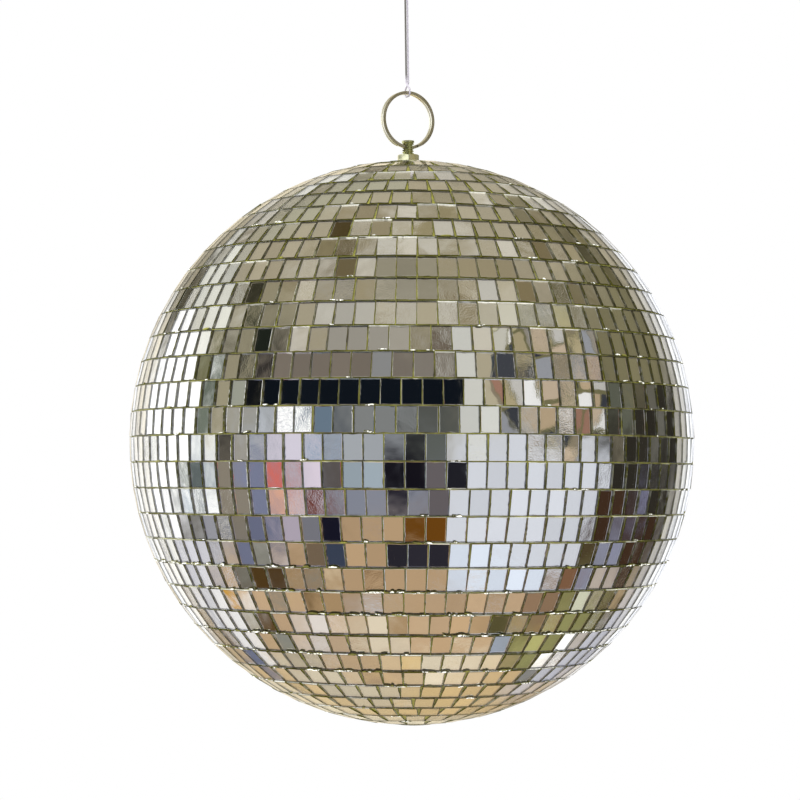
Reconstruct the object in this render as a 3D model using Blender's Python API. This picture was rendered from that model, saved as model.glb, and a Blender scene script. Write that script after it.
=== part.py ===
"""A hanging mirror ball: 34 rings of mirror tile on a two-part hollow core, carried by a
threaded stud, a split ring and a doubled nylon line.

Metres, +Z up. The origin is the hang point, the inside top of the line's eye loop, and the
split ring lies in the XZ plane at rest. The pieces hang in a chain of four bodies, each on an
empty at its joint: the held line, the line's bight, the split ring and the ball.
"""

import math

import bmesh
import bpy
from mathutils import Vector

# --- driving dimensions -------------------------------------------------------------------
GAP = 0.0003  # left between meshes that touch on the real object

BALL_RADIUS = 0.150
BALL_DROP = 0.270  # hang point down to the ball's centre
TILE_HEIGHT = 0.0127
TILE_THICKNESS = 0.0015
ROW_GAP = 0.00064
ROWS_EACH_SIDE = 17  # rows above and below the seam where the tiling starts
FIRST_SEAM_LATITUDE = math.radians(0.70)
FACETS = 32  # flats round every turned layer of the ball

COAT_THICKNESS = 0.0008
CORE_WALL = 0.0032
LIP_THICKNESS = 0.0020  # the lower half's lip, which stands inside the upper half
LIP_HEIGHT = 0.0080
LIP_ROOT = 0.0040  # how far the lip runs down the lower half's own wall
JOINT_GLUE_THICKNESS = 0.0004
JOINT_GLUE_HEIGHT = 0.0060
CLOSING_DISC_RADIUS = 0.0098

STUD_RADIUS = 0.003175
STUD_LENGTH = 0.0300
STUD_TOP = 0.1618  # above the ball's centre
STUD_RIM_RADIUS = 0.0034
STUD_RIM_HEIGHT = 0.0011
CROSS_HOLE_RADIUS = 0.00215
NUT_ACROSS_FLATS = 0.0111
NUT_HEIGHT = 0.00556
NUT_TOP = 0.1542  # above the ball's centre
NUT_TURN = math.radians(6.5)
WASHER_RADIUS = 0.00635
WASHER_THICKNESS = 0.0013
HOLE_CLEARANCE = 0.0004  # between the stud and what it passes through

SPREADER_RADIUS = 0.015
SPREADER_THICKNESS = 0.0016
SPREADER_SEAT = 0.1430  # flat inside the core's crown, above the ball's centre
LOCK_WASHER_RADIUS = 0.00615
LOCK_WASHER_THICKNESS = 0.0016
LOCK_WASHER_SLIT = math.radians(16)

RING_RADIUS = 0.0156  # outside
RING_THICKNESS = 0.0017
COIL_WIDTH = 0.0016
COIL_GAP = 0.0001
RING_TURN_SEGMENTS = 40
COIL_ANGLE = math.radians(675)  # wire in the split ring, nearly two turns
STEP_START = math.radians(322)  # where the wire steps from the first coil to the second
STEP_END = math.radians(353)
COIL_START = math.radians(292.5)  # the wire's first end, from +X towards +Z

LINE_RADIUS = 0.0005
STRAND_OFFSET = 0.00065  # each strand's centre from the line's own axis
BIGHT_BEND_RADIUS = 0.0021
BIGHT_SIDE = 0.0028  # bight's legs from the ring's plane
BIGHT_BELOW = 0.00195  # bight's lowest point under the middle of the ring's wire
BIGHT_RISE = 0.0010  # straight part of each leg before the strands draw together
BIGHT_TWIST_HEIGHT = 0.0050
KNOT_RADIUS = 0.0024
KNOT_BOTTOM = -0.0275
KNOT_TOP = -0.0210

# --- worked out from them -----------------------------------------------------------------
ROW_PITCH = 2 * math.asin((TILE_HEIGHT + ROW_GAP) / 2 / BALL_RADIUS)
RING_MIDDLE_RADIUS = RING_RADIUS - RING_THICKNESS / 2
CROSS_HOLE_HEIGHT = 0.15815  # above the ball's centre
RING_CENTRE_HEIGHT = CROSS_HOLE_HEIGHT + RING_MIDDLE_RADIUS
RING_CENTRE_Z = RING_CENTRE_HEIGHT - BALL_DROP
WIRE_TOP_Z = RING_CENTRE_Z + RING_MIDDLE_RADIUS  # middle of the ring's wire, at the top
BIGHT_TOP_Z = WIRE_TOP_Z + BIGHT_RISE + BIGHT_TWIST_HEIGHT
COAT_RADIUS = BALL_RADIUS - TILE_THICKNESS - GAP
CORE_RADIUS = COAT_RADIUS - COAT_THICKNESS - GAP
CORE_INNER_RADIUS = CORE_RADIUS - CORE_WALL
JOINT_Z = CORE_RADIUS * math.sin(FIRST_SEAM_LATITUDE)  # where the core's halves meet
# The glue band is straight, so it clears the wall at the first seam above the joint.
JOINT_GLUE_RADIUS = CORE_INNER_RADIUS * math.cos(FIRST_SEAM_LATITUDE + ROW_PITCH) - GAP
HOLE_RADIUS = STUD_RADIUS + HOLE_CLEARANCE

# The left half of the eye loop's route, as (x, z) from the knot's top to the hang point.
EYE_ROUTE = (
    (-0.00065, -0.0207),
    (-0.0011, -0.0182),
    (-0.0037, -0.0136),
    (-0.0061, -0.0092),
    (-0.0064, -0.0048),
    (-0.0040, -0.0009),
    (0.0, 0.0005),
)


# --- materials ----------------------------------------------------------------------------
def material(name, colour, roughness, metallic=0.0, transmission=0.0):
    made = bpy.data.materials.new(name)
    made.use_nodes = True
    shader = made.node_tree.nodes["Principled BSDF"]
    shader.inputs["Base Color"].default_value = (*colour, 1)
    shader.inputs["Roughness"].default_value = roughness
    shader.inputs["Metallic"].default_value = metallic
    shader.inputs["Transmission Weight"].default_value = transmission
    made.diffuse_color = (*colour, 1)
    return made


# --- shared builders ----------------------------------------------------------------------
def add_empty(name, height, parent=None):
    """A joint's empty on the Z axis, height above its parent."""
    empty = bpy.data.objects.new(name, None)
    empty.empty_display_size = 0.01
    empty.location.z = height
    empty.parent = parent
    bpy.context.scene.collection.objects.link(empty)
    return empty


def add_object(name, shape, finish, parent=None, height=0.0, smooth=True):
    """Wraps a bmesh as an object, height above its parent, with its normals facing out."""
    bmesh.ops.recalc_face_normals(shape, faces=shape.faces)
    mesh = bpy.data.meshes.new(name)
    shape.to_mesh(mesh)
    shape.free()
    if smooth:
        mesh.shade_smooth()
        mesh.set_sharp_from_angle(angle=math.radians(30))
    if finish:
        mesh.materials.append(finish)
    made = bpy.data.objects.new(name, mesh)
    made.location.z = height
    made.parent = parent
    bpy.context.scene.collection.objects.link(made)
    return made


def turned(profile, segments=FACETS, phase=0.0):
    """A closed outline of (radius, height) points turned about Z. Points on the axis close up."""
    shape = bmesh.new()
    columns = []
    on_axis = {i: shape.verts.new((0, 0, z)) for i, (r, z) in enumerate(profile) if r == 0}
    for step in range(segments):
        angle = phase + 2 * math.pi * step / segments
        columns.append([
            on_axis.get(i) or shape.verts.new((r * math.cos(angle), r * math.sin(angle), z))
            for i, (r, z) in enumerate(profile)
        ])
    for step in range(segments):
        here, there = columns[step], columns[(step + 1) % segments]
        for i in range(len(profile)):
            j = (i + 1) % len(profile)
            corners = list(dict.fromkeys((here[i], there[i], there[j], here[j])))
            if len(corners) > 2:
                shape.faces.new(corners)
    return shape


def swept(sections):
    """A bar through a list of cross-sections, each a list of points, with flat ends."""
    shape = bmesh.new()
    rings = [[shape.verts.new(point) for point in section] for section in sections]
    for here, there in zip(rings, rings[1:]):
        for i in range(len(here)):
            j = (i + 1) % len(here)
            shape.faces.new((here[i], here[j], there[j], there[i]))
    shape.faces.new(rings[0])
    shape.faces.new(rings[-1])
    return shape


def tube(name, points, finish, parent, height=0.0):
    """Nylon line as a round tube through the points, with filled ends."""
    curve = bpy.data.curves.new(name, "CURVE")
    curve.dimensions = "3D"
    curve.bevel_depth = LINE_RADIUS
    curve.bevel_resolution = 2
    curve.use_fill_caps = True
    spline = curve.splines.new("POLY")
    spline.points.add(len(points) - 1)
    for point, place in zip(spline.points, points):
        point.co = (*place, 1)
    curve.materials.append(finish)
    made = bpy.data.objects.new(name, curve)
    made.location.z = height
    made.parent = parent
    bpy.context.scene.collection.objects.link(made)
    return made


def boolean(target, name, shape, height, operation="DIFFERENCE"):
    """Cuts target with, or keeps it inside, a hidden helper made from a bmesh."""
    helper = add_object(name, shape, None, target.parent, height, smooth=False)
    helper.hide_render = True
    helper.display_type = "WIRE"
    modifier = target.modifiers.new(name, "BOOLEAN")
    modifier.operation = operation
    modifier.object = helper


def through_points(route, steps):
    """Points on a smooth curve through the route's own points, steps of them per stretch."""
    route = [Vector(point) for point in route]
    padded = [2 * route[0] - route[1], *route, 2 * route[-1] - route[-2]]
    points = []
    for a, b, c, d in zip(padded, padded[1:], padded[2:], padded[3:]):
        for step in range(steps):
            t = step / steps
            points.append(
                0.5 * (2 * b + (c - a) * t + (2 * a - 5 * b + 4 * c - d) * t**2
                       + (3 * b - a - 3 * c + d) * t**3)
            )
    return [*points, route[-1]]


def eased(t):
    """0 to 1 with level ends."""
    t = min(max(t, 0.0), 1.0)
    return t * t * (3 - 2 * t)


def on_sphere(radius, latitude):
    return radius * math.cos(latitude), radius * math.sin(latitude)


# --- the hanging line ---------------------------------------------------------------------
def make_eye_loop(finish, parent):
    left = [(x, 0, z) for x, z in EYE_ROUTE]
    right = [(-x, 0, z) for x, z in reversed(EYE_ROUTE[:-1])]
    tube("line_eye_loop", through_points(left + right, 3), finish, parent)


def make_knot(finish, parent):
    middle = (KNOT_TOP + KNOT_BOTTOM) / 2
    half = (KNOT_TOP - KNOT_BOTTOM) / 2
    steps = 8
    outline = []
    for step in range(steps + 1):
        angle = math.radians(-70 + 140 * step / steps)
        outline.append((KNOT_RADIUS * math.cos(angle), half * math.sin(angle) / math.sin(math.radians(70))))
    shape = turned([(0, -half), *outline, (0, half)], 16)
    add_object("line_knot", shape, finish, parent, middle)


def make_strands(finish, parent):
    start, end = BIGHT_TOP_Z + GAP, KNOT_BOTTOM - GAP
    steps = 20
    for name, side in (("line_strand_left", -1), ("line_strand_right", 1)):
        points = [
            (side * STRAND_OFFSET, 0, start + (end - start) * step / steps)
            for step in range(steps + 1)
        ]
        tube(name, points, finish, parent)


def bight_half():
    """From the bight's lowest point up the leg at -Y, round to the strand at -X."""
    corner_y = BIGHT_SIDE - BIGHT_BEND_RADIUS
    corner_z = BIGHT_BEND_RADIUS - BIGHT_BELOW
    points = [Vector((0, 0, -BIGHT_BELOW))]
    bend_steps = 7
    for step in range(bend_steps + 1):
        angle = math.pi / 2 * step / bend_steps
        points.append(Vector((
            0,
            -corner_y - BIGHT_BEND_RADIUS * math.sin(angle),
            corner_z - BIGHT_BEND_RADIUS * math.cos(angle),
        )))
    rise_steps = 8
    for step in range(rise_steps + 1):
        part = step / rise_steps
        drawn = eased(part)
        points.append(Vector((
            -STRAND_OFFSET * drawn,
            -BIGHT_SIDE * (1 - drawn),
            BIGHT_RISE + BIGHT_TWIST_HEIGHT * part,
        )))
    return points


def make_bight(finish, parent):
    front = bight_half()
    back = [Vector((-point.x, -point.y, point.z)) for point in front[1:]]
    tube("line_bight", [*reversed(back), *front], finish, parent, WIRE_TOP_Z - BIGHT_TOP_Z)


# --- split ring ---------------------------------------------------------------------------
def make_split_ring(finish, parent):
    """Flat wire wound nearly twice, stepping from one coil to the other beside its ends."""
    steps = round(RING_TURN_SEGMENTS * COIL_ANGLE / (2 * math.pi))
    coil_offset = (COIL_WIDTH + COIL_GAP) / 2
    half_width, half_thickness = COIL_WIDTH / 2, RING_THICKNESS / 2
    sections = []
    for step in range(steps + 1):
        wound = COIL_ANGLE * step / steps
        angle = COIL_START + wound
        across = coil_offset * (2 * eased((wound - STEP_START) / (STEP_END - STEP_START)) - 1)
        outward = Vector((math.cos(angle), 0, math.sin(angle)))
        middle = outward * RING_MIDDLE_RADIUS + Vector((0, across, 0))
        sections.append([
            middle + outward * half_thickness * out + Vector((0, half_width * side, 0))
            for out, side in ((-1, -1), (1, -1), (1, 1), (-1, 1))
        ])
    add_object("split_ring", swept(sections), finish, parent)


# --- stud, nuts and washers ---------------------------------------------------------------
def make_stud(finish, parent, height):
    chamfer = 0.0005
    rim_bottom = STUD_TOP - STUD_RIM_HEIGHT
    bottom = STUD_TOP - STUD_LENGTH
    outline = [
        (0, bottom),
        (STUD_RADIUS - chamfer, bottom),
        (STUD_RADIUS, bottom + chamfer),
        (STUD_RADIUS, rim_bottom),
        (STUD_RIM_RADIUS, rim_bottom + chamfer / 2),
        (STUD_RIM_RADIUS, STUD_TOP - chamfer),
        (STUD_RIM_RADIUS - chamfer, STUD_TOP),
        (0, STUD_TOP),
    ]
    stud = add_object("threaded_stud", turned(outline, 24), finish, parent, height)
    half = 2 * STUD_RADIUS
    hole = turned([(0, -half), (CROSS_HOLE_RADIUS, -half), (CROSS_HOLE_RADIUS, half), (0, half)], 20)
    for vertex in hole.verts:
        vertex.co = (vertex.co.z, vertex.co.y, -vertex.co.x)
    boolean(stud, "cross_hole_cutter", hole, height + CROSS_HOLE_HEIGHT)


def make_nut(name, top, finish, parent, height):
    """A hexagon nut with both faces chamfered to a circle, and a plain bore."""
    corner_radius = NUT_ACROSS_FLATS / 2 / math.cos(math.pi / 6)
    bottom = top - NUT_HEIGHT
    prism = turned([(0, bottom), (corner_radius, bottom), (corner_radius, top), (0, top)], 6, NUT_TURN)
    nut = add_object(name, prism, finish, parent, height, smooth=False)
    flat_radius = NUT_ACROSS_FLATS / 2 * 0.90
    drop = (corner_radius - flat_radius) * math.tan(math.radians(30))
    cone = turned([
        (0, bottom), (flat_radius, bottom), (corner_radius, bottom + drop),
        (corner_radius, top - drop), (flat_radius, top), (0, top),
    ], 24, NUT_TURN)
    boolean(nut, name + "_chamfer_guide", cone, height, "INTERSECT")
    reach = 0.001
    bore = turned([
        (0, bottom - reach), (HOLE_RADIUS, bottom - reach), (HOLE_RADIUS, top + reach), (0, top + reach),
    ], 20)
    boolean(nut, name + "_bore_cutter", bore, height)


def make_washer(name, top, radius, thickness, finish, parent, height):
    bottom = top - thickness
    outline = [(HOLE_RADIUS, bottom), (radius, bottom), (radius, top), (HOLE_RADIUS, top)]
    add_object(name, turned(outline, 24), finish, parent, height)


def make_lock_washer(top, finish, parent, height):
    """A washer cut through at one place."""
    steps = 22
    sections = []
    for step in range(steps + 1):
        angle = LOCK_WASHER_SLIT / 2 + (2 * math.pi - LOCK_WASHER_SLIT) * step / steps
        outward = Vector((math.cos(angle), math.sin(angle), 0))
        sections.append([
            outward * radius + Vector((0, 0, z))
            for radius, z in (
                (HOLE_RADIUS, top - LOCK_WASHER_THICKNESS),
                (LOCK_WASHER_RADIUS, top - LOCK_WASHER_THICKNESS),
                (LOCK_WASHER_RADIUS, top),
                (HOLE_RADIUS, top),
            )
        ])
    add_object("lock_washer", swept(sections), finish, parent, height)


# --- the ball -----------------------------------------------------------------------------
def seam_latitude(seam):
    return FIRST_SEAM_LATITUDE + seam * ROW_PITCH


def layer_outline(radius, first, last):
    """Points on every second seam from first down to last, and on seam 0 where the halves meet."""
    seams = [seam for seam in range(first, last - 1, -1) if (ROWS_EACH_SIDE - seam) % 2 == 0 or seam == 0]
    return [on_sphere(radius, seam_latitude(seam)) for seam in seams]


def make_core_upper(finish, parent, height):
    """A shell with a flat crown, outside for the washer and inside for the spreader plate."""
    washer_seat = NUT_TOP - NUT_HEIGHT - GAP - WASHER_THICKNESS - GAP
    rim = JOINT_Z + GAP / 2
    outside = layer_outline(CORE_RADIUS, ROWS_EACH_SIDE, 0)
    inside = layer_outline(CORE_INNER_RADIUS, ROWS_EACH_SIDE, 0)
    outside[0] = (outside[0][0], washer_seat)
    inside[0] = (math.sqrt(CORE_INNER_RADIUS**2 - SPREADER_SEAT**2), SPREADER_SEAT)
    outside[-1] = (outside[-1][0], rim)
    inside[-1] = (inside[-1][0], rim)
    outline = [
        (HOLE_RADIUS, washer_seat), *outside, *reversed(inside), (HOLE_RADIUS, SPREADER_SEAT),
    ]
    add_object("core_upper_half", turned(outline), finish, parent, height)


def make_core_lower(finish, parent, height):
    """A closed bowl, with the lip that the upper half is glued round."""
    rim = JOINT_Z - GAP / 2
    outside = layer_outline(CORE_RADIUS, 0, -ROWS_EACH_SIDE)
    inside = layer_outline(CORE_INNER_RADIUS, 0, -ROWS_EACH_SIDE)
    outside[0] = (outside[0][0], rim)
    lip_outer = JOINT_GLUE_RADIUS - JOINT_GLUE_THICKNESS - GAP
    lip_inner = lip_outer - LIP_THICKNESS
    outline = [
        (0, -CORE_RADIUS),
        *reversed(outside),
        (lip_outer, rim),
        (lip_outer, rim + LIP_HEIGHT),
        (lip_inner, rim + LIP_HEIGHT),
        (lip_inner, rim - LIP_ROOT),
        *inside[1:],
        (0, -CORE_INNER_RADIUS),
    ]
    add_object("core_lower_half", turned(outline), finish, parent, height)


def make_joint_glue(finish, parent, height):
    """The band of glue between the lower half's lip and the upper half."""
    inner = JOINT_GLUE_RADIUS - JOINT_GLUE_THICKNESS
    bottom = JOINT_Z + (LIP_HEIGHT - JOINT_GLUE_HEIGHT) / 2
    top = bottom + JOINT_GLUE_HEIGHT
    outline = [(inner, bottom), (JOINT_GLUE_RADIUS, bottom), (JOINT_GLUE_RADIUS, top), (inner, top)]
    add_object("core_joint_glue", turned(outline), finish, parent, height)


def make_coat(finish, parent, height):
    """The painted-on adhesive film, open only where the stud's washer sits."""
    inner = COAT_RADIUS - COAT_THICKNESS
    outside = layer_outline(COAT_RADIUS, ROWS_EACH_SIDE, -ROWS_EACH_SIDE)
    inside = layer_outline(inner, ROWS_EACH_SIDE, -ROWS_EACH_SIDE)
    outline = [*outside, (0, -COAT_RADIUS), (0, -inner), *reversed(inside)]
    add_object("adhesive_coat", turned(outline), finish, parent, height)


def make_tile_rows(finish, parent, height):
    """Row 1 is at the top. Each row is a ring of flats between two cones from the centre."""
    half_gap = ROW_GAP / 2 / BALL_RADIUS
    inner = BALL_RADIUS - TILE_THICKNESS
    seams = range(ROWS_EACH_SIDE, -ROWS_EACH_SIDE, -1)
    for number, seam in enumerate(seams, start=1):
        top = seam_latitude(seam) - half_gap
        bottom = seam_latitude(seam - 1) + half_gap
        outline = [
            on_sphere(BALL_RADIUS, top),
            on_sphere(BALL_RADIUS, bottom),
            on_sphere(inner, bottom),
            on_sphere(inner, top),
        ]
        shape = turned(outline)
        add_object(f"tile_row_{number:02d}", shape, finish, parent, height, smooth=False)


def make_closing_disc(finish, parent, height):
    top = -COAT_RADIUS - GAP
    bottom = top - TILE_THICKNESS
    outline = [(0, bottom), (CLOSING_DISC_RADIUS, bottom), (CLOSING_DISC_RADIUS, top), (0, top)]
    add_object("closing_mirror_disc", turned(outline, 24), finish, parent, height)


def make_stack(steel, zinc, parent, height):
    """The stud's hardware, from the top nut outside to the inner nut under the crown."""
    make_nut("top_nut", NUT_TOP, zinc, parent, height)
    washer_top = NUT_TOP - NUT_HEIGHT - GAP
    make_washer("top_washer", washer_top, WASHER_RADIUS, WASHER_THICKNESS, zinc, parent, height)
    plate_top = SPREADER_SEAT - GAP
    make_washer(
        "spreader_plate", plate_top, SPREADER_RADIUS, SPREADER_THICKNESS, steel, parent, height,
    )
    lock_top = plate_top - SPREADER_THICKNESS - GAP
    make_lock_washer(lock_top, steel, parent, height)
    make_nut("inner_nut", lock_top - LOCK_WASHER_THICKNESS - GAP, zinc, parent, height)


def main():
    for existing in list(bpy.data.objects):
        bpy.data.objects.remove(existing)

    nylon = material("clear_nylon", (0.86, 0.87, 0.86), 0.12, transmission=0.6)
    brass = material("pale_brass", (0.62, 0.55, 0.36), 0.28, 1.0)
    yellow_zinc = material("yellow_zinc", (0.60, 0.56, 0.27), 0.32, 1.0)
    steel = material("plain_steel", (0.48, 0.48, 0.47), 0.38, 1.0)
    plastic = material("core_plastic", (0.10, 0.10, 0.10), 0.55)
    adhesive = material("olive_adhesive", (0.26, 0.24, 0.07), 0.45)
    joint_glue = material("joint_glue", (0.78, 0.74, 0.62), 0.5)
    mirror = material("champagne_mirror", (0.80, 0.76, 0.66), 0.04, 1.0)

    hang_point = add_empty("hang_point", 0.0)
    spin_axis = add_empty("ball_spin_axis", BIGHT_TOP_Z, hang_point)
    ring_axis = add_empty("ring_turn_axis", RING_CENTRE_Z - BIGHT_TOP_Z, spin_axis)
    swing_axis = add_empty("ball_swing_axis", -RING_MIDDLE_RADIUS, ring_axis)
    ball = -CROSS_HOLE_HEIGHT  # the ball's centre, below the swing axis

    make_eye_loop(nylon, hang_point)
    make_knot(nylon, hang_point)
    make_strands(nylon, hang_point)
    make_bight(nylon, spin_axis)
    make_split_ring(brass, ring_axis)
    make_stud(yellow_zinc, swing_axis, ball)
    make_stack(steel, yellow_zinc, swing_axis, ball)
    make_core_upper(plastic, swing_axis, ball)
    make_core_lower(plastic, swing_axis, ball)
    make_joint_glue(joint_glue, swing_axis, ball)
    make_coat(adhesive, swing_axis, ball)
    make_tile_rows(mirror, swing_axis, ball)
    make_closing_disc(mirror, swing_axis, ball)


main()
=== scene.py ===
"""The hanging mirror ball as it looks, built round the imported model. Metres, +Z up.

Camera and line come first, then the split ring, stud and nuts, then 34 rows of cut mirror tile
bedded in olive adhesive, then the surroundings that the tiles reflect.
"""
import math
import random

import bmesh
import bpy
import numpy as np
from mathutils import Matrix, Vector


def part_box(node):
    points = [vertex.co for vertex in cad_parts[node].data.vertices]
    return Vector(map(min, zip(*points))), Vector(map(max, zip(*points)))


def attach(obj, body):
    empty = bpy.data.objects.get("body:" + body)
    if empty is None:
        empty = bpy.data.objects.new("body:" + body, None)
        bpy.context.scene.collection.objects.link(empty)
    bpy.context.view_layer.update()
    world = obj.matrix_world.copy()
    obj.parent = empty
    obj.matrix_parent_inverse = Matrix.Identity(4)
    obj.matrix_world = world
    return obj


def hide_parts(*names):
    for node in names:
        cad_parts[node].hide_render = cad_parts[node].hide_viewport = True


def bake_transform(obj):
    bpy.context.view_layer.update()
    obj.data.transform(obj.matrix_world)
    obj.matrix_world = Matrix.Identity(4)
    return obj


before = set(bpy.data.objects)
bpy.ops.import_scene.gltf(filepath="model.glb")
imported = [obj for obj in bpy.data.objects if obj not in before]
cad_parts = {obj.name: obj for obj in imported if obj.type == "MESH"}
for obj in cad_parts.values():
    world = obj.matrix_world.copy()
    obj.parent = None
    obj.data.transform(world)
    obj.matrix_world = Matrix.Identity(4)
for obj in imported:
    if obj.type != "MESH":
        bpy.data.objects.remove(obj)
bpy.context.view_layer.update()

scene = bpy.context.scene

# --- sizes, as in the CAD -----------------------------------------------------------------
GAP = 0.0003
BALL_CENTRE = Vector((0, 0, -0.270))
BALL_RADIUS = 0.150
TILE_WIDTH = 0.0095
TILE_HEIGHT = 0.0127
TILE_THICKNESS = 0.0015
ROW_GAP = 0.00064
ROWS_EACH_SIDE = 17
FIRST_SEAM_LATITUDE = math.radians(0.70)
ROW_PITCH = 2 * math.asin((TILE_HEIGHT + ROW_GAP) / 2 / BALL_RADIUS)
COAT_RADIUS = BALL_RADIUS - TILE_THICKNESS - GAP

RING_RADIUS = 0.0156
RING_THICKNESS = 0.0017
RING_MIDDLE_RADIUS = RING_RADIUS - RING_THICKNESS / 2
COIL_WIDTH = 0.0016
COIL_GAP = 0.0001
COIL_ANGLE = math.radians(675)
STEP_START, STEP_END = math.radians(322), math.radians(353)
COIL_START = math.radians(292.5)
CROSS_HOLE_HEIGHT = 0.15815
RING_CENTRE_Z = BALL_CENTRE.z + CROSS_HOLE_HEIGHT + RING_MIDDLE_RADIUS
WIRE_TOP_Z = RING_CENTRE_Z + RING_MIDDLE_RADIUS

STUD_RADIUS = 0.003175
STUD_LENGTH = 0.0300
STUD_TOP = 0.1618
STUD_RIM_RADIUS = 0.0034
STUD_RIM_HEIGHT = 0.0011
CROSS_HOLE_RADIUS = 0.00215
NUT_ACROSS_FLATS = 0.0111
NUT_HEIGHT = 0.00556
NUT_TOP = 0.1542
NUT_TURN = math.radians(6.5)
WASHER_RADIUS = 0.00635
WASHER_THICKNESS = 0.0013
HOLE_RADIUS = STUD_RADIUS + 0.0004

LINE_RADIUS = 0.0005
STRAND_OFFSET = 0.00065
BIGHT_BEND_RADIUS = 0.0021
BIGHT_SIDE = 0.0028
BIGHT_BELOW = 0.00195
BIGHT_RISE = 0.0010
BIGHT_TWIST_HEIGHT = 0.0050
BIGHT_TOP_Z = WIRE_TOP_Z + BIGHT_RISE + BIGHT_TWIST_HEIGHT
KNOT_BOTTOM = -0.0275
KNOT_TOP = -0.0210
EYE_ROUTE = (
    (-0.00065, -0.0207), (-0.0011, -0.0182), (-0.0037, -0.0136), (-0.0061, -0.0092),
    (-0.0064, -0.0048), (-0.0040, -0.0009), (0.0, 0.0005),
)

# --- camera -------------------------------------------------------------------------------
CAMERA_AZIMUTH = math.radians(-28)
CAMERA_ELEVATION = math.radians(-1.15)
CAMERA_DISTANCE = 1.3035
CAMERA_ROLL = math.radians(0.70)
LENS = 109.7
# What the camera aims at, from the ball's centre.
AIM_LEFT = 0.0060
AIM_ABOVE = 0.02255


def direction(azimuth, elevation):
    """Unit vector from the ball to that azimuth: 0 is -Y, 90 is +X."""
    return Vector((
        math.sin(azimuth) * math.cos(elevation),
        -math.cos(azimuth) * math.cos(elevation),
        math.sin(elevation),
    ))


RIGHT = Vector((math.cos(CAMERA_AZIMUTH), math.sin(CAMERA_AZIMUTH), 0))
BACK = direction(CAMERA_AZIMUTH, 0)


def globe(longitude, latitude):
    """Unit vector from the ball's centre to a place on it, as on a globe."""
    return Vector((
        math.cos(latitude) * math.cos(longitude), math.cos(latitude) * math.sin(longitude),
        math.sin(latitude),
    ))


def make_camera():
    data = bpy.data.cameras.new("camera")
    data.lens = LENS
    data.sensor_width = 36
    camera = bpy.data.objects.new("camera", data)
    scene.collection.objects.link(camera)
    back = direction(CAMERA_AZIMUTH, CAMERA_ELEVATION)
    camera.location = BALL_CENTRE + back * CAMERA_DISTANCE
    aim = BALL_CENTRE - RIGHT * AIM_LEFT + Vector((0, 0, AIM_ABOVE))
    turn = (aim - camera.location).to_track_quat("-Z", "Y").to_matrix()
    turn = turn @ Matrix.Rotation(-CAMERA_ROLL, 3, "Z")
    camera.rotation_euler = turn.to_euler()
    scene.camera = camera


make_camera()


# --- shared builders ----------------------------------------------------------------------
def add_mesh(name, points, faces, finishes=(), smooth=None, face_finish=None):
    """Wraps points and faces as an object; smooth is the sharpest angle still shaded smooth."""
    mesh = bpy.data.meshes.new(name)
    mesh.from_pydata([tuple(p) for p in points], [], [tuple(f) for f in faces])
    for finish in finishes:
        mesh.materials.append(finish)
    if face_finish is not None:
        mesh.polygons.foreach_set("material_index", face_finish)
    mesh.update()
    if smooth is not None:
        mesh.shade_smooth()
        mesh.set_sharp_from_angle(angle=smooth)
    made = bpy.data.objects.new(name, mesh)
    scene.collection.objects.link(made)
    return made


def join_rings(faces, rings):
    """Quads between each ring of points and the next."""
    for here, there in zip(rings, rings[1:]):
        count = len(here)
        for k in range(count):
            j = (k + 1) % count
            faces.append((here[k], here[j], there[j], there[k]))


def add_face_values(made, **layers):
    """One number for each face, read by the finishes."""
    for label, values in layers.items():
        made.data.attributes.new(label, "FLOAT", "FACE").data.foreach_set("value", values)


def apply_modifiers(made):
    graph = bpy.context.evaluated_depsgraph_get()
    mesh = bpy.data.meshes.new_from_object(made.evaluated_get(graph))
    made.modifiers.clear()
    made.data = mesh


def boolean(target, helper, operation="DIFFERENCE"):
    """Cuts target with helper at once, and removes helper."""
    modifier = target.modifiers.new("cut", "BOOLEAN")
    modifier.operation = operation
    modifier.solver = "EXACT"
    modifier.object = helper
    apply_modifiers(target)
    bpy.data.objects.remove(helper)


def bevel(made, width, segments=2, angle=30):
    modifier = made.modifiers.new("bevel", "BEVEL")
    modifier.width = width
    modifier.segments = segments
    modifier.limit_method = "ANGLE"
    modifier.angle_limit = math.radians(angle)
    modifier.harden_normals = False
    apply_modifiers(made)
    made.data.shade_smooth()
    made.data.set_sharp_from_angle(angle=math.radians(40))


def turned(name, profile, segments, finish, phase=0.0, smooth=math.radians(35)):
    """An outline of (radius, height) turned about the Z axis; heights are from the ball's centre."""
    points, columns, faces = [], [], []
    on_axis = {}
    for i, (r, z) in enumerate(profile):
        if r == 0:
            on_axis[i] = len(points)
            points.append((0, 0, z + BALL_CENTRE.z))
    for step in range(segments):
        angle = phase + 2 * math.pi * step / segments
        column = []
        for i, (r, z) in enumerate(profile):
            if i in on_axis:
                column.append(on_axis[i])
            else:
                column.append(len(points))
                points.append((r * math.cos(angle), r * math.sin(angle), z + BALL_CENTRE.z))
        columns.append(column)
    for step in range(segments):
        here, there = columns[step], columns[(step + 1) % segments]
        for i in range(len(profile)):
            j = (i + 1) % len(profile)
            corners = list(dict.fromkeys((here[i], there[i], there[j], here[j])))
            if len(corners) > 2:
                faces.append(corners)
    made = add_mesh(name, points, faces, [finish] if finish else [], smooth)
    outward(made)
    return made


def outward(made):
    shape = bmesh.new()
    shape.from_mesh(made.data)
    bmesh.ops.recalc_face_normals(shape, faces=shape.faces)
    shape.to_mesh(made.data)
    shape.free()


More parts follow.
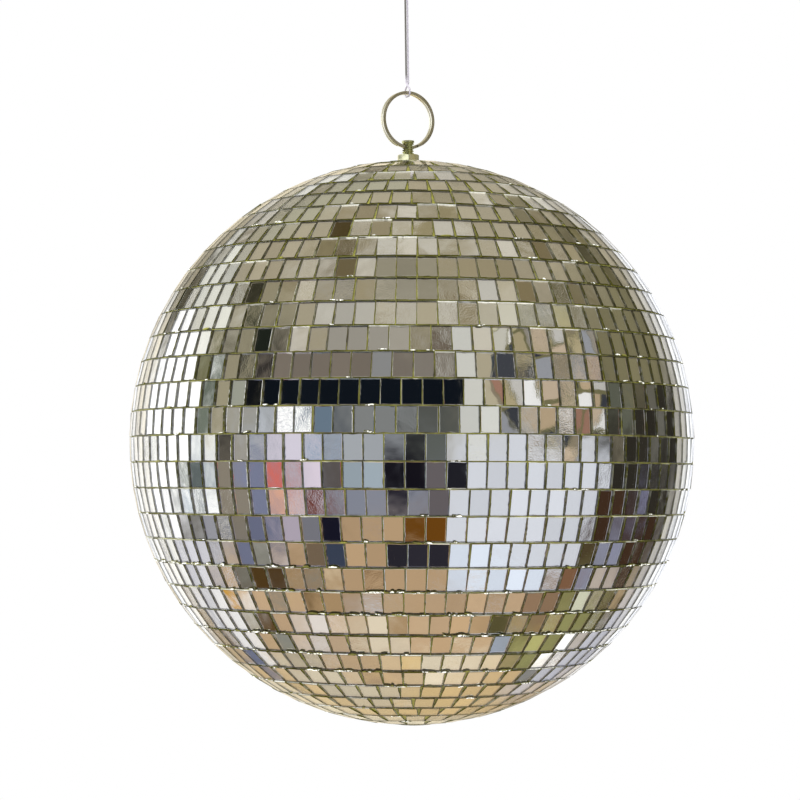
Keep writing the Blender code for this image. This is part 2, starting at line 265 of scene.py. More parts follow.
def through_points(route, steps):
    """Points on a smooth curve through the route's own points, steps of them per stretch."""
    route = [Vector(point) for point in route]
    padded = [2 * route[0] - route[1], *route, 2 * route[-1] - route[-2]]
    points = []
    for a, b, c, d in zip(padded, padded[1:], padded[2:], padded[3:]):
        for step in range(steps):
            t = step / steps
            points.append(
                0.5 * (2 * b + (c - a) * t + (2 * a - 5 * b + 4 * c - d) * t**2
                       + (3 * b - a - 3 * c + d) * t**3)
            )
    return [*points, route[-1]]


def eased(t):
    t = min(max(t, 0.0), 1.0)
    return t * t * (3 - 2 * t)


def tube(name, paths, radius, finish, sides=14):
    """Round line along each path in paths, as one mesh with filled ends."""
    points, faces = [], []
    for path in paths:
        path = [Vector(p) for p in path]
        tangents = []
        for i in range(len(path)):
            ahead, behind = path[min(i + 1, len(path) - 1)], path[max(i - 1, 0)]
            tangents.append((ahead - behind).normalized())
        normal = tangents[0].orthogonal().normalized()
        rings = []
        for i, (place, tangent) in enumerate(zip(path, tangents)):
            normal = (normal - tangent * normal.dot(tangent)).normalized()
            side = tangent.cross(normal)
            ring = []
            for k in range(sides):
                angle = 2 * math.pi * k / sides
                ring.append(len(points))
                points.append(place + radius * (math.cos(angle) * normal + math.sin(angle) * side))
            rings.append(ring)
        join_rings(faces, rings)
        faces += [tuple(reversed(rings[0])), tuple(rings[-1])]
    return add_mesh(name, points, faces, [finish], math.radians(50))


# --- node helpers -------------------------------------------------------------------------
class Finish:
    """A material with its Principled shader, and short calls for the nodes that feed it."""

    def __init__(self, name, **sockets):
        self.material = bpy.data.materials.new(name)
        self.material.use_nodes = True
        self.tree = self.material.node_tree
        self.shader = self.tree.nodes["Principled BSDF"]
        self.wire(**sockets)

    def wire(self, **sockets):
        """Feeds the shader's own sockets, each with a value or another node's output."""
        for socket, value in sockets.items():
            self.feed(self.shader.inputs[socket.replace("_", " ")], value)

    def node(self, kind, settings=None, **inputs):
        made = self.tree.nodes.new(kind)
        for key, value in (settings or {}).items():
            setattr(made, key, value)
        for key, value in inputs.items():
            self.feed(made.inputs[key.replace("_", " ")], value)
        return made

    def feed(self, socket, value):
        if isinstance(value, bpy.types.NodeSocket):
            self.tree.links.new(value, socket)
        else:
            socket.default_value = value

    def place(self):
        """Object coordinates, which stay on the piece when it moves."""
        return self.node("ShaderNodeTexCoord").outputs["Object"]

    def noise(self, scale, detail=3.0, roughness=0.5, stretch=None, distortion=0.0):
        place = self.place()
        if stretch:
            place = self.node("ShaderNodeMapping", Vector=place, Scale=stretch).outputs[0]
        return self.node(
            "ShaderNodeTexNoise", Vector=place, Scale=scale, Detail=detail,
            Roughness=roughness, Distortion=distortion,
        ).outputs["Fac"]

    def attribute(self, name, output="Fac"):
        return self.node("ShaderNodeAttribute", {"attribute_name": name}).outputs[output]

    def ramp(self, value, *stops):
        """Colours at places along value: stops are (place, (r, g, b))."""
        made = self.node("ShaderNodeValToRGB", Fac=value)
        elements = made.color_ramp.elements
        while len(elements) < len(stops):
            elements.new(0.5)
        for element, (place, colour) in zip(elements, stops):
            element.position = place
            element.color = (*colour, 1)
        return made.outputs["Color"]

    def span(self, value, low, high, to_low, to_high, smooth=False):
        made = self.node(
            "ShaderNodeMapRange", {"interpolation_type": "SMOOTHSTEP" if smooth else "LINEAR"},
            Value=value,
        )
        for place, number in zip((1, 2, 3, 4), (low, high, to_low, to_high)):
            made.inputs[place].default_value = number
        return made.outputs[0]

    def maths(self, operation, a, b=None):
        made = self.node("ShaderNodeMath", {"operation": operation})
        self.feed(made.inputs[0], a)
        if b is not None:
            self.feed(made.inputs[1], b)
        return made.outputs[0]

    def mix(self, factor, a, b, blend="MIX"):
        made = self.node("ShaderNodeMix", {"data_type": "RGBA", "blend_type": blend})
        self.feed(made.inputs[0], factor)
        for socket, value in ((made.inputs[6], a), (made.inputs[7], b)):
            self.feed(socket, (*value, 1) if isinstance(value, tuple) else value)
        return made.outputs[2]

    def bump(self, height, distance, strength=1.0, normal=None):
        made = self.node("ShaderNodeBump", Height=height)
        made.inputs["Distance"].default_value = distance
        self.feed(made.inputs["Strength"], strength)
        if normal is not None:
            self.feed(made.inputs["Normal"], normal)
        return made.outputs[0]


# --- finishes -----------------------------------------------------------------------------
def nylon_finish():
    """Drawn nylon, clear with a lilac cast; the strand at -X is painted dark grey and less clear, as
    painted shade on that strand.
    """
    f = Finish("nylon_line", Roughness=0.10, IOR=1.53)
    place = f.node("ShaderNodeSeparateXYZ", Vector=f.place())
    # Painted shade: the strand at -X, between the bight and the knot, is coloured dark grey and made
    # less clear.
    side = f.span(place.outputs["X"], -0.0002, 0.0002, 0, 1, smooth=True)
    clear = f.maths("MAXIMUM", side, f.span(place.outputs["Z"], -0.030, -0.024, 0, 1))
    clear = f.maths("MAXIMUM", clear, f.span(place.outputs["Z"], BIGHT_TOP_Z + 0.004, BIGHT_TOP_Z, 0, 1))
    f.wire(Base_Color=f.mix(clear, (0.17, 0.165, 0.15), (0.80, 0.76, 0.86)))
    f.wire(Transmission_Weight=f.span(clear, 0, 1, 0.1, 0.30))
    return f.material


def plated_finish(name, light, dark, green, roughness):
    """Dulled thin plating: patches of tone, and fine drawn scratches."""
    f = Finish(name, Metallic=1.0)
    patches = f.noise(150, 4, 0.55, distortion=0.4)
    tone = f.ramp(patches, (0.30, dark), (0.46, light), (0.60, light), (0.80, green))
    spots = f.noise(1900, 2, 0.6)
    tone = f.mix(f.span(spots, 0.68, 0.80, 0, 0.35), tone, tuple(0.5 * c for c in dark))
    f.wire(Base_Color=tone)
    marks = f.noise(1200, 3, 0.6, stretch=(1, 1, 3))
    rough = f.maths("ADD", f.span(patches, 0.3, 0.7, roughness, roughness + 0.08),
                    f.span(marks, 0.45, 0.75, 0, 0.08))
    f.wire(Roughness=rough)
    f.wire(Normal=f.bump(marks, 0.0000012))
    return f.material


def ring_finish():
    """Pale brass, darker and browner on the wire's two flat sides, picked by which way the surface
    faces: painted shade.
    """
    f = Finish("pale_brass", Metallic=1.0)
    patches = f.noise(150, 4, 0.55, distortion=0.4)
    bright = f.ramp(
        patches, (0.30, (0.84, 0.77, 0.52)), (0.50, (0.96, 0.92, 0.72)), (0.75, (0.90, 0.86, 0.62)),
    )
    dull = f.ramp(patches, (0.35, (0.44, 0.40, 0.26)), (0.65, (0.62, 0.58, 0.44)))
    # Painted shade: the faces that point along Y, the wire's two flat sides, take the darker brown
    # colours.
    facing = f.node("ShaderNodeTexCoord").outputs["Normal"]
    facing = f.maths("ABSOLUTE", f.node("ShaderNodeSeparateXYZ", Vector=facing).outputs["Y"])
    flat_side_shade = f.maths("ADD", facing, f.span(patches, 0, 1, -0.12, 0.12))
    flat_side_shade = f.span(flat_side_shade, 0.60, 0.88, 0, 1, smooth=True)
    f.wire(Base_Color=f.mix(flat_side_shade, bright, dull))
    f.wire(Roughness=f.span(patches, 0.3, 0.7, 0.32, 0.40))
    f.wire(Normal=f.bump(f.noise(200, 2), 0.000002))
    return f.material


def adhesive_finish():
    """Olive contact adhesive: glossy where it was squeezed, dusty and lumpy elsewhere."""
    f = Finish("olive_adhesive", Specular_IOR_Level=0.6)
    lumps = f.noise(1400, 4, 0.6)
    tone = f.ramp(
        f.noise(90, 3, 0.6), (0.30, (0.06, 0.06, 0.010)), (0.46, (0.23, 0.225, 0.022)),
        (0.66, (0.44, 0.43, 0.055)),
    )
    f.wire(Base_Color=f.mix(f.span(lumps, 0.35, 0.7, 0, 0.5), tone, (0.10, 0.095, 0.03)))
    f.wire(Roughness=f.span(lumps, 0.3, 0.7, 0.28, 0.6))
    f.wire(Normal=f.bump(lumps, 0.00025))
    return f.material


TILE_TINT = (0.90, 0.875, 0.79)


def silver_finish():
    """The tile's silvering, seen through its glass: champagne, each tile with its own tone and waves."""
    f = Finish("tile_silvering", Metallic=1.0, Roughness=0.03)
    seed = f.attribute("tile_tone")
    wave = f.attribute("tile_wave")
    dark, light = (tuple(c * k for c in TILE_TINT) for k in (0.84, 1.05))
    tone = f.mix(seed, dark, light)
    haze = f.noise(420, 4, 0.7)
    tone = f.mix(f.maths("MULTIPLY", f.span(haze, 0.62, 0.74, 0, 0.5), wave), tone, (0.55, 0.53, 0.46))
    f.wire(Base_Color=tone)
    broad = f.noise(70, 2, 0.4)
    peel = f.noise(1500, 2, 0.5)
    first = f.bump(broad, 0.00022, f.span(wave, 0, 0.5, 0.14, 1.0))
    f.wire(Normal=f.bump(peel, 0.000042, wave, first))
    f.wire(Roughness=f.span(wave, 0.2, 1.0, 0.015, 0.06))
    return f.material


def glass_finish():
    """Clear float glass, cut edges included, with a faint surface waviness."""
    f = Finish(
        "tile_glass", Base_Color=(0.985, 0.99, 0.975, 1), Roughness=0.0, IOR=1.52,
        Transmission_Weight=1.0,
    )
    f.wire(Normal=f.bump(f.noise(70, 2), 0.00003))
    return f.material


def cut_edge_finish():
    """Snapped glass edge, rippled and frosted. Where its edge value is 0 it is dark olive all over:
    adhesive, with painted shade on the bottom edges of the upper rows and on top edges without a glint.
    Where the value is 1, adhesive lies on it in smears. A glinting edge gives off light of its own: a
    painted glint, for the light that the glass pipes to it."""
    f = Finish("tile_cut_edge", IOR=1.52, Emission_Color=(1.0, 1.0, 0.94, 1))
    ripple = f.noise(1300, 3, 0.7)
    bare_and_unshaded = f.span(f.noise(170, 3, 0.6), 0.34, 0.50, 0.9, 0)
    bare_and_unshaded = f.maths("MULTIPLY", bare_and_unshaded, f.attribute("edge_clean"))
    f.wire(Base_Color=f.mix(bare_and_unshaded, (0.17, 0.165, 0.022), (0.95, 0.96, 0.84)))
    f.wire(Transmission_Weight=f.span(bare_and_unshaded, 0, 1, 0.05, 0.6))
    # Painted glint: the edge gives off light of its own where edge_glint is above 0.
    glint = f.maths("MULTIPLY", f.attribute("edge_glint"), f.span(ripple, 0.30, 0.50, 0.35, 1))
    f.wire(Emission_Strength=glint)
    f.wire(Roughness=f.span(ripple, 0.35, 0.75, 0.05, 0.35))
    f.wire(Normal=f.bump(ripple, 0.00010))
    return f.material


def chip_finish():
    """Small splinters of clear glass with painted glints: white patches that give off light of their
    own, and painted dark beside them.
    """
    f = Finish("glass_chip", IOR=1.52, Transmission_Weight=0.35, Emission_Color=(1.0, 1.0, 0.96, 1))
    glint_cloud = f.noise(850, 2)
    # Painted glint and shade: the white patches give off light, and the dark ones beside them are
    # painted darker.
    f.wire(Base_Color=f.ramp(glint_cloud, (0.43, (0.16, 0.16, 0.11)), (0.49, (0.96, 0.96, 0.93))))
    f.wire(Emission_Strength=f.span(glint_cloud, 0.49, 0.55, 0, 0.7))
    f.wire(Roughness=f.span(glint_cloud, 0.3, 0.7, 0.02, 0.18))
    f.wire(Normal=f.bump(f.noise(1500, 2), 0.00006))
    return f.material


def steel_finish():
    f = Finish("plain_steel", Metallic=1.0)
    grain = f.noise(900, 4, 0.7)
    stain = f.noise(200, 4, 0.6)
    f.wire(Base_Color=f.ramp(stain, (0.35, (0.30, 0.29, 0.27)), (0.6, (0.56, 0.56, 0.55))))
    f.wire(Roughness=f.span(grain, 0.3, 0.7, 0.28, 0.5))
    f.wire(Normal=f.bump(grain, 0.00002))
    return f.material


def plastic_finish():
    f = Finish("core_plastic", Specular_IOR_Level=0.4)
    grain = f.noise(700, 4, 0.6)
    flow = f.noise(30, 3, 0.5, stretch=(1, 1, 4))
    f.wire(Base_Color=f.ramp(flow, (0.35, (0.030, 0.030, 0.032)), (0.7, (0.065, 0.064, 0.062))))
    f.wire(Roughness=f.span(grain, 0.3, 0.7, 0.42, 0.62))
    f.wire(Normal=f.bump(grain, 0.00006))
    return f.material


def joint_glue_finish():
    f = Finish("joint_glue")
    lumps = f.noise(500, 3, 0.6)
    f.wire(Base_Color=f.ramp(lumps, (0.35, (0.62, 0.55, 0.40)), (0.65, (0.80, 0.76, 0.64))))
    f.wire(Roughness=f.span(lumps, 0.3, 0.7, 0.30, 0.55))
    f.wire(Normal=f.bump(lumps, 0.0002))
    return f.material


NYLON = nylon_finish()
BRASS = ring_finish()
ZINC = plated_finish("yellow_zinc", (0.87, 0.85, 0.52), (0.52, 0.51, 0.23), (0.58, 0.61, 0.29), 0.13)
STUD_ZINC = plated_finish("olive_zinc", (0.64, 0.65, 0.34), (0.36, 0.37, 0.15), (0.46, 0.50, 0.21), 0.20)
ADHESIVE = adhesive_finish()
SILVER = silver_finish()
GLASS = glass_finish()
CUT_EDGE = cut_edge_finish()
CHIP = chip_finish()
STEEL = steel_finish()
PLASTIC = plastic_finish()
JOINT_GLUE = joint_glue_finish()


# --- the hanging line ---------------------------------------------------------------------
def bight_half():
    """From the bight's lowest point up the leg at -Y, round to the strand at -X."""
    corner_y = BIGHT_SIDE - BIGHT_BEND_RADIUS
    corner_z = BIGHT_BEND_RADIUS - BIGHT_BELOW
    points = [Vector((0, 0, -BIGHT_BELOW))]
    for step in range(15):
        angle = math.pi / 2 * step / 14
        points.append(Vector((
            0,
            -corner_y - BIGHT_BEND_RADIUS * math.sin(angle),
            corner_z - BIGHT_BEND_RADIUS * math.cos(angle),
        )))
    for step in range(17):
        part = step / 16
        drawn = eased(part)
        points.append(Vector((
            -STRAND_OFFSET * drawn, -BIGHT_SIDE * (1 - drawn),
            BIGHT_RISE + BIGHT_TWIST_HEIGHT * part,
        )))
    return [p + Vector((0, 0, WIRE_TOP_Z)) for p in points]


LEAST_STEP = 0.00001


def make_line(knot):
    """One length of line, from the knot round the split ring and back to the knot."""
    bottom = KNOT_BOTTOM - GAP
    strand = [
        Vector((-STRAND_OFFSET, 0, BIGHT_TOP_Z + (bottom - BIGHT_TOP_Z) * step / 40))
        for step in range(1, 41)
    ]
    half = [*bight_half(), *strand]
    back = [Vector((-p.x, -p.y, p.z)) for p in half[1:]]
    route = [*reversed(half), *back]
    path = [route[0]]
    for point in route[1:]:
        if (point - path[-1]).length > LEAST_STEP:
            path.append(point)
    line = tube("hanging_line", [path], LINE_RADIUS, NYLON)
    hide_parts("line_strand_left", "line_strand_right", "line_bight")
    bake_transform(line)


def make_eye_loop():
    """The loop above the knot, which everything hangs on."""
    left = [(x, 0, z) for x, z in EYE_ROUTE]
    right = [(-x, 0, z) for x, z in reversed(EYE_ROUTE[:-1])]
    loop_path = through_points(left + right, 6)
    loop = tube("eye_loop", [loop_path], LINE_RADIUS, NYLON)
    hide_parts("line_eye_loop")
    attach(loop, "hanger")


# The knot is the trefoil that x = t^3 - 3t, y = t^4 - 4t^2, z = t^5 - 10t make, eased out into
# the two strands at its ends. These are its scales across and deep, and its strands' distance.
KNOT_ACROSS, KNOT_DEEP = 0.00062, 0.00052
KNOT_STRAND_OFFSET = 0.00048
KNOT_STRAND_SHIFT = 0.00012
KNOT_REACH = 2.12
KNOT_EASED_FROM = 1.6


def make_knot():
    """An overhand knot tied in both strands together, with two short trimmed tails."""
    middle = (KNOT_TOP + KNOT_BOTTOM) / 2
    half = (KNOT_TOP - KNOT_BOTTOM) / 2
    steps = 72
    limit = KNOT_REACH**5 - 10 * KNOT_REACH
    paths = []
    for side in (-1, 1):
        path = []
        for step in range(steps + 1):
            t = KNOT_REACH * (2 * step / steps - 1)
            spread = eased((abs(t) - KNOT_EASED_FROM) / (KNOT_REACH - KNOT_EASED_FROM))
            x = KNOT_ACROSS * (t**3 - 3 * t) * (1 - spread)
            y = KNOT_DEEP * (t**4 - 4 * t**2 + 2.0) * (1 - spread)
            z = (t**5 - 10 * t) / limit * half
            offset = KNOT_STRAND_OFFSET + (STRAND_OFFSET - KNOT_STRAND_OFFSET) * spread
            shift = side * KNOT_STRAND_SHIFT * (1 - spread)
            path.append(Vector((x + side * offset, y + shift, middle + z)))
        paths.append(path)
    for side in (-1, 1):
        foot = Vector((side * 0.0012, side * 0.0008, KNOT_BOTTOM + 0.0011))
        paths.append(through_points([
            foot, foot + Vector((side * 0.0008, 0, 0.0006)), foot + Vector((side * 0.0011, 0, 0.0020)),
        ], 5))
    knot = tube("line_overhand_knot", paths, LINE_RADIUS, NYLON, 12)
    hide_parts("line_knot")
    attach(knot, "hanger")
    return knot


make_line(make_knot())
make_eye_loop()


# --- split ring ---------------------------------------------------------------------------
WIRE_CORNER = 0.00032
# The wire is thinned to this share of its thickness at its ends, over so many steps.
END_SHARE, END_STEPS = 0.72, 5


def make_split_ring():
    """Flat wire with rounded edges, wound nearly twice, its ends dressed to a slope."""
    steps = 300
    coil_offset = (COIL_WIDTH + COIL_GAP) / 2
    half_width, half_thickness = COIL_WIDTH / 2, RING_THICKNESS / 2
    section = []
    for out, side, first in ((1, 1, 0), (-1, 1, 90), (-1, -1, 180), (1, -1, 270)):
        for step in range(4):
            angle = math.radians(first + 30 * step)
            section.append((
                out * (half_thickness - WIRE_CORNER) + WIRE_CORNER * math.cos(angle),
                side * (half_width - WIRE_CORNER) + WIRE_CORNER * math.sin(angle),
            ))
    points, faces, rings = [], [], []
    for step in range(steps + 1):
        wound = COIL_ANGLE * step / steps
        angle = COIL_START + wound
        across = coil_offset * (2 * eased((wound - STEP_START) / (STEP_END - STEP_START)) - 1)
        from_end = min(step, steps - step) / END_STEPS
        slim = END_SHARE + (1 - END_SHARE) * min(from_end, 1)
        outward_way = Vector((math.cos(angle), 0, math.sin(angle)))
        middle = outward_way * RING_MIDDLE_RADIUS + Vector((0, across, RING_CENTRE_Z))
        ring = []
        for out, side in section:
            ring.append(len(points))
            points.append(middle + outward_way * out * slim + Vector((0, side, 0)))
        rings.append(ring)
    join_rings(faces, rings)
    faces += [tuple(reversed(rings[0])), tuple(rings[-1])]
    ring = add_mesh("split_ring_wire", points, faces, [BRASS], math.radians(50))
    outward(ring)
    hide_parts("split_ring")
    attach(ring, "ring")


make_split_ring()


# --- stud, nuts and washers ---------------------------------------------------------------
THREAD_PITCH = 0.00127
THREAD_DEPTH = 0.00068
# At the stud's foot the thread runs in over this height, and the rod is this much thinner.
FOOT_HEIGHT, FOOT_THINNER = 0.0012, 0.0009
FOOT_FACE_RADIUS = 0.0019
# Below the rim the thread runs out over this height, down to this share of its depth.
RUN_OUT_HEIGHT, RUN_OUT_SHARE = 0.0009, 0.12
# The rolled rim: shares of its radius, and heights above its foot.
RIM = (
    (0.985, 0.0001), (1.0, 0.0003), (1.0, 0.00070), (0.975, 0.00092), (0.92, 0.00104),
    (0.84, STUD_RIM_HEIGHT), (0.5, STUD_RIM_HEIGHT),
)
# The cross hole's rounded mouth: how much wider it is, and how deep it begins and ends.
MOUTH_WIDER = 0.00025
MOUTH_SHALLOW, MOUTH_DEEP = 0.00005, 0.0004


def make_stud():
    """Threaded rod with a real helix, a rolled rim at its top and a drilled cross hole."""
    around = 48
    bottom = STUD_TOP - STUD_LENGTH
    rim_bottom = STUD_TOP - STUD_RIM_HEIGHT
    levels = round((rim_bottom - bottom) / THREAD_PITCH * 10)
    heights = [bottom + (rim_bottom - bottom) * i / levels for i in range(levels + 1)]
    points, faces, rings = [], [], []

    def ring_at(radius_of, height):
        ring = []
        for k in range(around):
            angle = 2 * math.pi * k / around
            r = radius_of(angle)
            ring.append(len(points))
            points.append((r * math.cos(angle), r * math.sin(angle), height + BALL_CENTRE.z))
        rings.append(ring)

    ring_at(lambda angle: FOOT_FACE_RADIUS, bottom)
    for height in heights:
        run_in = (height - bottom) / FOOT_HEIGHT
        run_out = (rim_bottom - height) / RUN_OUT_HEIGHT + RUN_OUT_SHARE
        depth = THREAD_DEPTH * min(1.0, run_in, run_out)
        edge = STUD_RADIUS - FOOT_THINNER * max(0.0, 1 - run_in)

        def thread(angle):
            turn = (height / THREAD_PITCH - angle / (2 * math.pi)) % 1
            valley = 1 - min(abs(turn - 0.5) / 0.42, 1)
            return edge - depth * eased(valley * 1.25)

        ring_at(thread, height)
    for part, height in RIM:
        ring_at(lambda angle: STUD_RIM_RADIUS * part, rim_bottom + height)
    join_rings(faces, rings)
    faces += [tuple(reversed(rings[0])), tuple(rings[-1])]
    stud = add_mesh("threaded_rod", points, faces, [STUD_ZINC])
    outward(stud)

    half = 2 * STUD_RADIUS
    lip = CROSS_HOLE_RADIUS + MOUTH_WIDER
    hole = turned("hole_cutter", [
        (0, -half), (lip, -half), (lip, -STUD_RADIUS + MOUTH_SHALLOW),
        (CROSS_HOLE_RADIUS, -STUD_RADIUS + MOUTH_DEEP), (CROSS_HOLE_RADIUS, STUD_RADIUS - MOUTH_DEEP),
        (lip, STUD_RADIUS - MOUTH_SHALLOW), (lip, half), (0, half),
    ], 32, None)
    for vertex in hole.data.vertices:
        x, y, z = vertex.co.x, vertex.co.y, vertex.co.z - BALL_CENTRE.z
        vertex.co = (z, y, -x + BALL_CENTRE.z + CROSS_HOLE_HEIGHT)
    boolean(stud, hole)
    stud.data.shade_smooth()
    stud.data.set_sharp_from_angle(angle=math.radians(42))
    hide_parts("threaded_stud")
    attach(stud, "ball")


def make_nut(name, node, top, finish):
    """A hexagon nut, chamfered to a circle on both faces, with softened corners and a lead-in."""
    corner_radius = NUT_ACROSS_FLATS / 2 / math.cos(math.pi / 6)
    bottom = top - NUT_HEIGHT
    prism = [(0, bottom), (corner_radius, bottom), (corner_radius, top), (0, top)]
    nut = turned(name, prism, 6, finish, NUT_TURN, None)
    soft = 0.00022
    bevel(nut, soft, 2)
    flat_radius = NUT_ACROSS_FLATS / 2 * 0.93
    drop = (corner_radius - flat_radius) * math.tan(math.radians(30))
    cone = turned("cone", [
        (0, bottom), (flat_radius - soft, bottom), (flat_radius + soft, bottom + 0.5 * soft),
        (corner_radius, bottom + drop), (corner_radius, top - drop),
        (flat_radius + soft, top - 0.5 * soft), (flat_radius - soft, top), (0, top),
    ], 72, None, NUT_TURN)
    boolean(nut, cone, "INTERSECT")
    reach, lead = 0.001, 0.0004
    bore = turned("bore", [
        (0, bottom - reach), (HOLE_RADIUS + lead + reach, bottom - reach), (HOLE_RADIUS, bottom + lead),
        (HOLE_RADIUS, top - lead), (HOLE_RADIUS + lead + reach, top + reach), (0, top + reach),
    ], 48, None)
    boolean(nut, bore)
    nut.data.shade_smooth()
    nut.data.set_sharp_from_angle(angle=math.radians(24))
    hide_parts(node)
    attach(nut, "ball")


def make_washer():
    top = NUT_TOP - NUT_HEIGHT - GAP
    bottom = top - WASHER_THICKNESS
    soft = 0.00025
    washer = turned("flat_washer", [
        (HOLE_RADIUS, bottom), (WASHER_RADIUS - soft, bottom), (WASHER_RADIUS, bottom + soft),
        (WASHER_RADIUS, top - soft), (WASHER_RADIUS - soft * 0.4, top - soft * 0.2),
        (WASHER_RADIUS - soft * 1.4, top), (HOLE_RADIUS + soft, top), (HOLE_RADIUS, top - soft),
    ], 64, ZINC)
    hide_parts("top_washer")
    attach(washer, "ball")


make_stud()
make_nut("hexagon_nut", "top_nut", NUT_TOP, ZINC)
make_washer()

INNER_FINISHES = {
    "spreader_plate": STEEL, "lock_washer": STEEL, "inner_nut": ZINC,
    "core_upper_half": PLASTIC, "core_lower_half": PLASTIC, "core_joint_glue": JOINT_GLUE,
}
for node, finish in INNER_FINISHES.items():
    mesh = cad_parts[node].data
    mesh.materials.clear()
    mesh.materials.append(finish)


# --- tiles --------------------------------------------------------------------------------
def seam_latitude(seam):
    return FIRST_SEAM_LATITUDE + seam * ROW_PITCH


LEAN_SIDEWAYS = math.radians(-0.91)
LEAN_FORWARD = math.radians(0.25)
# The lean fades out over LEAN_FADE on the way to this latitude.
LEAN_ENDS = math.radians(87)
LEAN_FADE = math.radians(40)


def lean(latitude):
    """The tiling was laid a little out of square with the stud, except round the two poles."""
    part = eased((LEAN_ENDS - abs(latitude)) / LEAN_FADE)
    return (Matrix.Rotation(LEAN_SIDEWAYS * part, 3, BACK)
            @ Matrix.Rotation(LEAN_FORWARD * part, 3, RIGHT))


def laid_axes(longitude, latitude):
    """East, north and outward at a place on the tiling."""
    outward_way = globe(longitude, latitude)
    east = Vector((-math.sin(longitude), math.cos(longitude), 0))
    north = outward_way.cross(east)
    laid = lean(latitude)
    return laid @ east, laid @ north, laid @ outward_way


# One seeded source gives every small unevenness of the tiling, in the order it is built.
jog = random.Random(41)
GLASS_SLOT, SILVER_SLOT, EDGE_SLOT = range(3)
TILE_BEVEL = 0.00011
BEVEL_JOG = 0.00004
CORNER_JOG = 0.00005
# A tile's edges are snapped, not ground: short pieces, with a nick here and there.
EDGE_PIECES = {"bottom": 4, "right": 9, "top": 4, "left": 9}
EDGE_JOG = 0.000012
NICK_CHANCE = 0.09
NICK_LEAST, NICK_MOST = 0.00008, 0.00026


def snapped_outline(bottom, top, height):
    """A tile's outline from its half widths and height, and where each edge starts in it."""
    half = height / 2
    corners = ((-bottom, -half), (bottom, -half), (top, half), (-top, half))
    corners = [Vector((x + jog.gauss(0, CORNER_JOG), y + jog.gauss(0, CORNER_JOG))) for x, y in corners]
    outline, marks = [], []
    for k, pieces in enumerate(EDGE_PIECES.values()):
        start, end = corners[k], corners[(k + 1) % 4]
        marks.append(len(outline))
        outline.append(start)
        inward = Vector((start.y - end.y, end.x - start.x)).normalized()
        for piece in range(1, pieces):
            chip = abs(jog.gauss(0, EDGE_JOG))
            if jog.random() < NICK_CHANCE:
                chip += jog.uniform(NICK_LEAST, NICK_MOST)
            along = (piece + jog.uniform(-0.3, 0.3)) / pieces
            outline.append(start.lerp(end, along) + inward * chip)
    return outline, marks


class TileRow:
    """Collects the cut tiles of one row. A tile is a closed glass block, silvered at the back."""

    def __init__(self):
        self.points, self.faces, self.finish = [], [], []
        self.tone, self.wave = [], []
        self.clean, self.glint = [], []
        self.edges = []

    def add(self, longitude, latitude, top, bottom, height, tilt, tone, wave, glint, radius, shift):
        """top and bottom are the tile's half widths at its two ends; glint is the strength of a painted
        glint, light that its top edge gives off.
        """
        east, north, outward_way = laid_axes(longitude, latitude)
        middle = BALL_CENTRE + outward_way * radius + north * shift
        turn = Matrix.Rotation(tilt[2], 3, outward_way)
        turn = Matrix.Rotation(tilt[0], 3, east) @ Matrix.Rotation(tilt[1], 3, north) @ turn
        east, north, outward_way = turn @ east, turn @ north, turn @ outward_way
        outline, marks = snapped_outline(bottom, top, height)
        count = len(outline)
        first = len(self.points)
        half_width, half_height = TILE_WIDTH / 2, height / 2
        narrower = [1 - (TILE_BEVEL + abs(jog.gauss(0, BEVEL_JOG))) / half_width for _ in outline]
        for depth, inset in ((TILE_THICKNESS, False), (TILE_BEVEL, False), (0.0, True)):
            for (x, y), scale in zip(outline, narrower):
                if inset:
                    y -= math.copysign((1 - scale) * half_width, y) * abs(y) / half_height
                    x *= scale
                self.points.append(middle + east * x + north * y - outward_way * depth)
        back, side, front = (list(range(first + count * i, first + count * (i + 1))) for i in range(3))
        parts = [(tuple(reversed(back)), SILVER_SLOT, 0, 0), (tuple(front), GLASS_SLOT, 0, 0)]
        for k in range(count):
            j = (k + 1) % count
            on_bottom, on_top = k < marks[1], marks[2] <= k < marks[3]
            # Painted shade: a bottom edge in the upper rows, and a top edge without a glint, gets 0,
            # which gives it the dark adhesive colour all over.
            clean = 0.0 if (on_bottom and latitude > 0) or (on_top and glint == 0) else 1.0
            cut = (back[k], back[j], side[j], side[k])
            parts.append((cut, EDGE_SLOT, clean, glint if on_top else 0))
            parts.append(((side[k], side[j], front[j], front[k]), GLASS_SLOT, 0, 0))
        for face, slot, clean, shine in parts:
            self.faces.append(face)
            self.finish.append(slot)
            self.tone.append(tone)
            self.wave.append(wave)
            self.clean.append(clean)
            self.glint.append(shine)
        self.edges.append([self.points[side[k]].copy() for k in marks])

    def build(self, name, node):
        row = add_mesh(name, self.points, self.faces, [GLASS, SILVER, CUT_EDGE], face_finish=self.finish)
        add_face_values(
            row, tile_tone=self.tone, tile_wave=self.wave, edge_clean=self.clean, edge_glint=self.glint,
        )
        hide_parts(node)
        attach(row, "ball")


COLUMN_PITCH = 0.01007
WIDEST_PITCH = COLUMN_PITCH * 1.085
NARROW_GAP = 0.00030
DRIFT = 0.00012
# How far a tile tilts out of line, and how much further one near a pole does.
TILT, POLE_TILT = math.radians(0.42), math.radians(0.5)
TWIST, POLE_TWIST = math.radians(0.35), math.radians(0.9)
FLAT_TILES = 0.76
FLAT_WAVES = (0.0, 0.0, 0.02, 0.05, 0.10)
# How much of the tiles' top edges stays without a glint, above and below the equator.
DULL_ABOVE, DULL_BELOW = 0.35, 0.15
# The front corners of every tile, row by row, for the adhesive between them.
bed_gaps = []


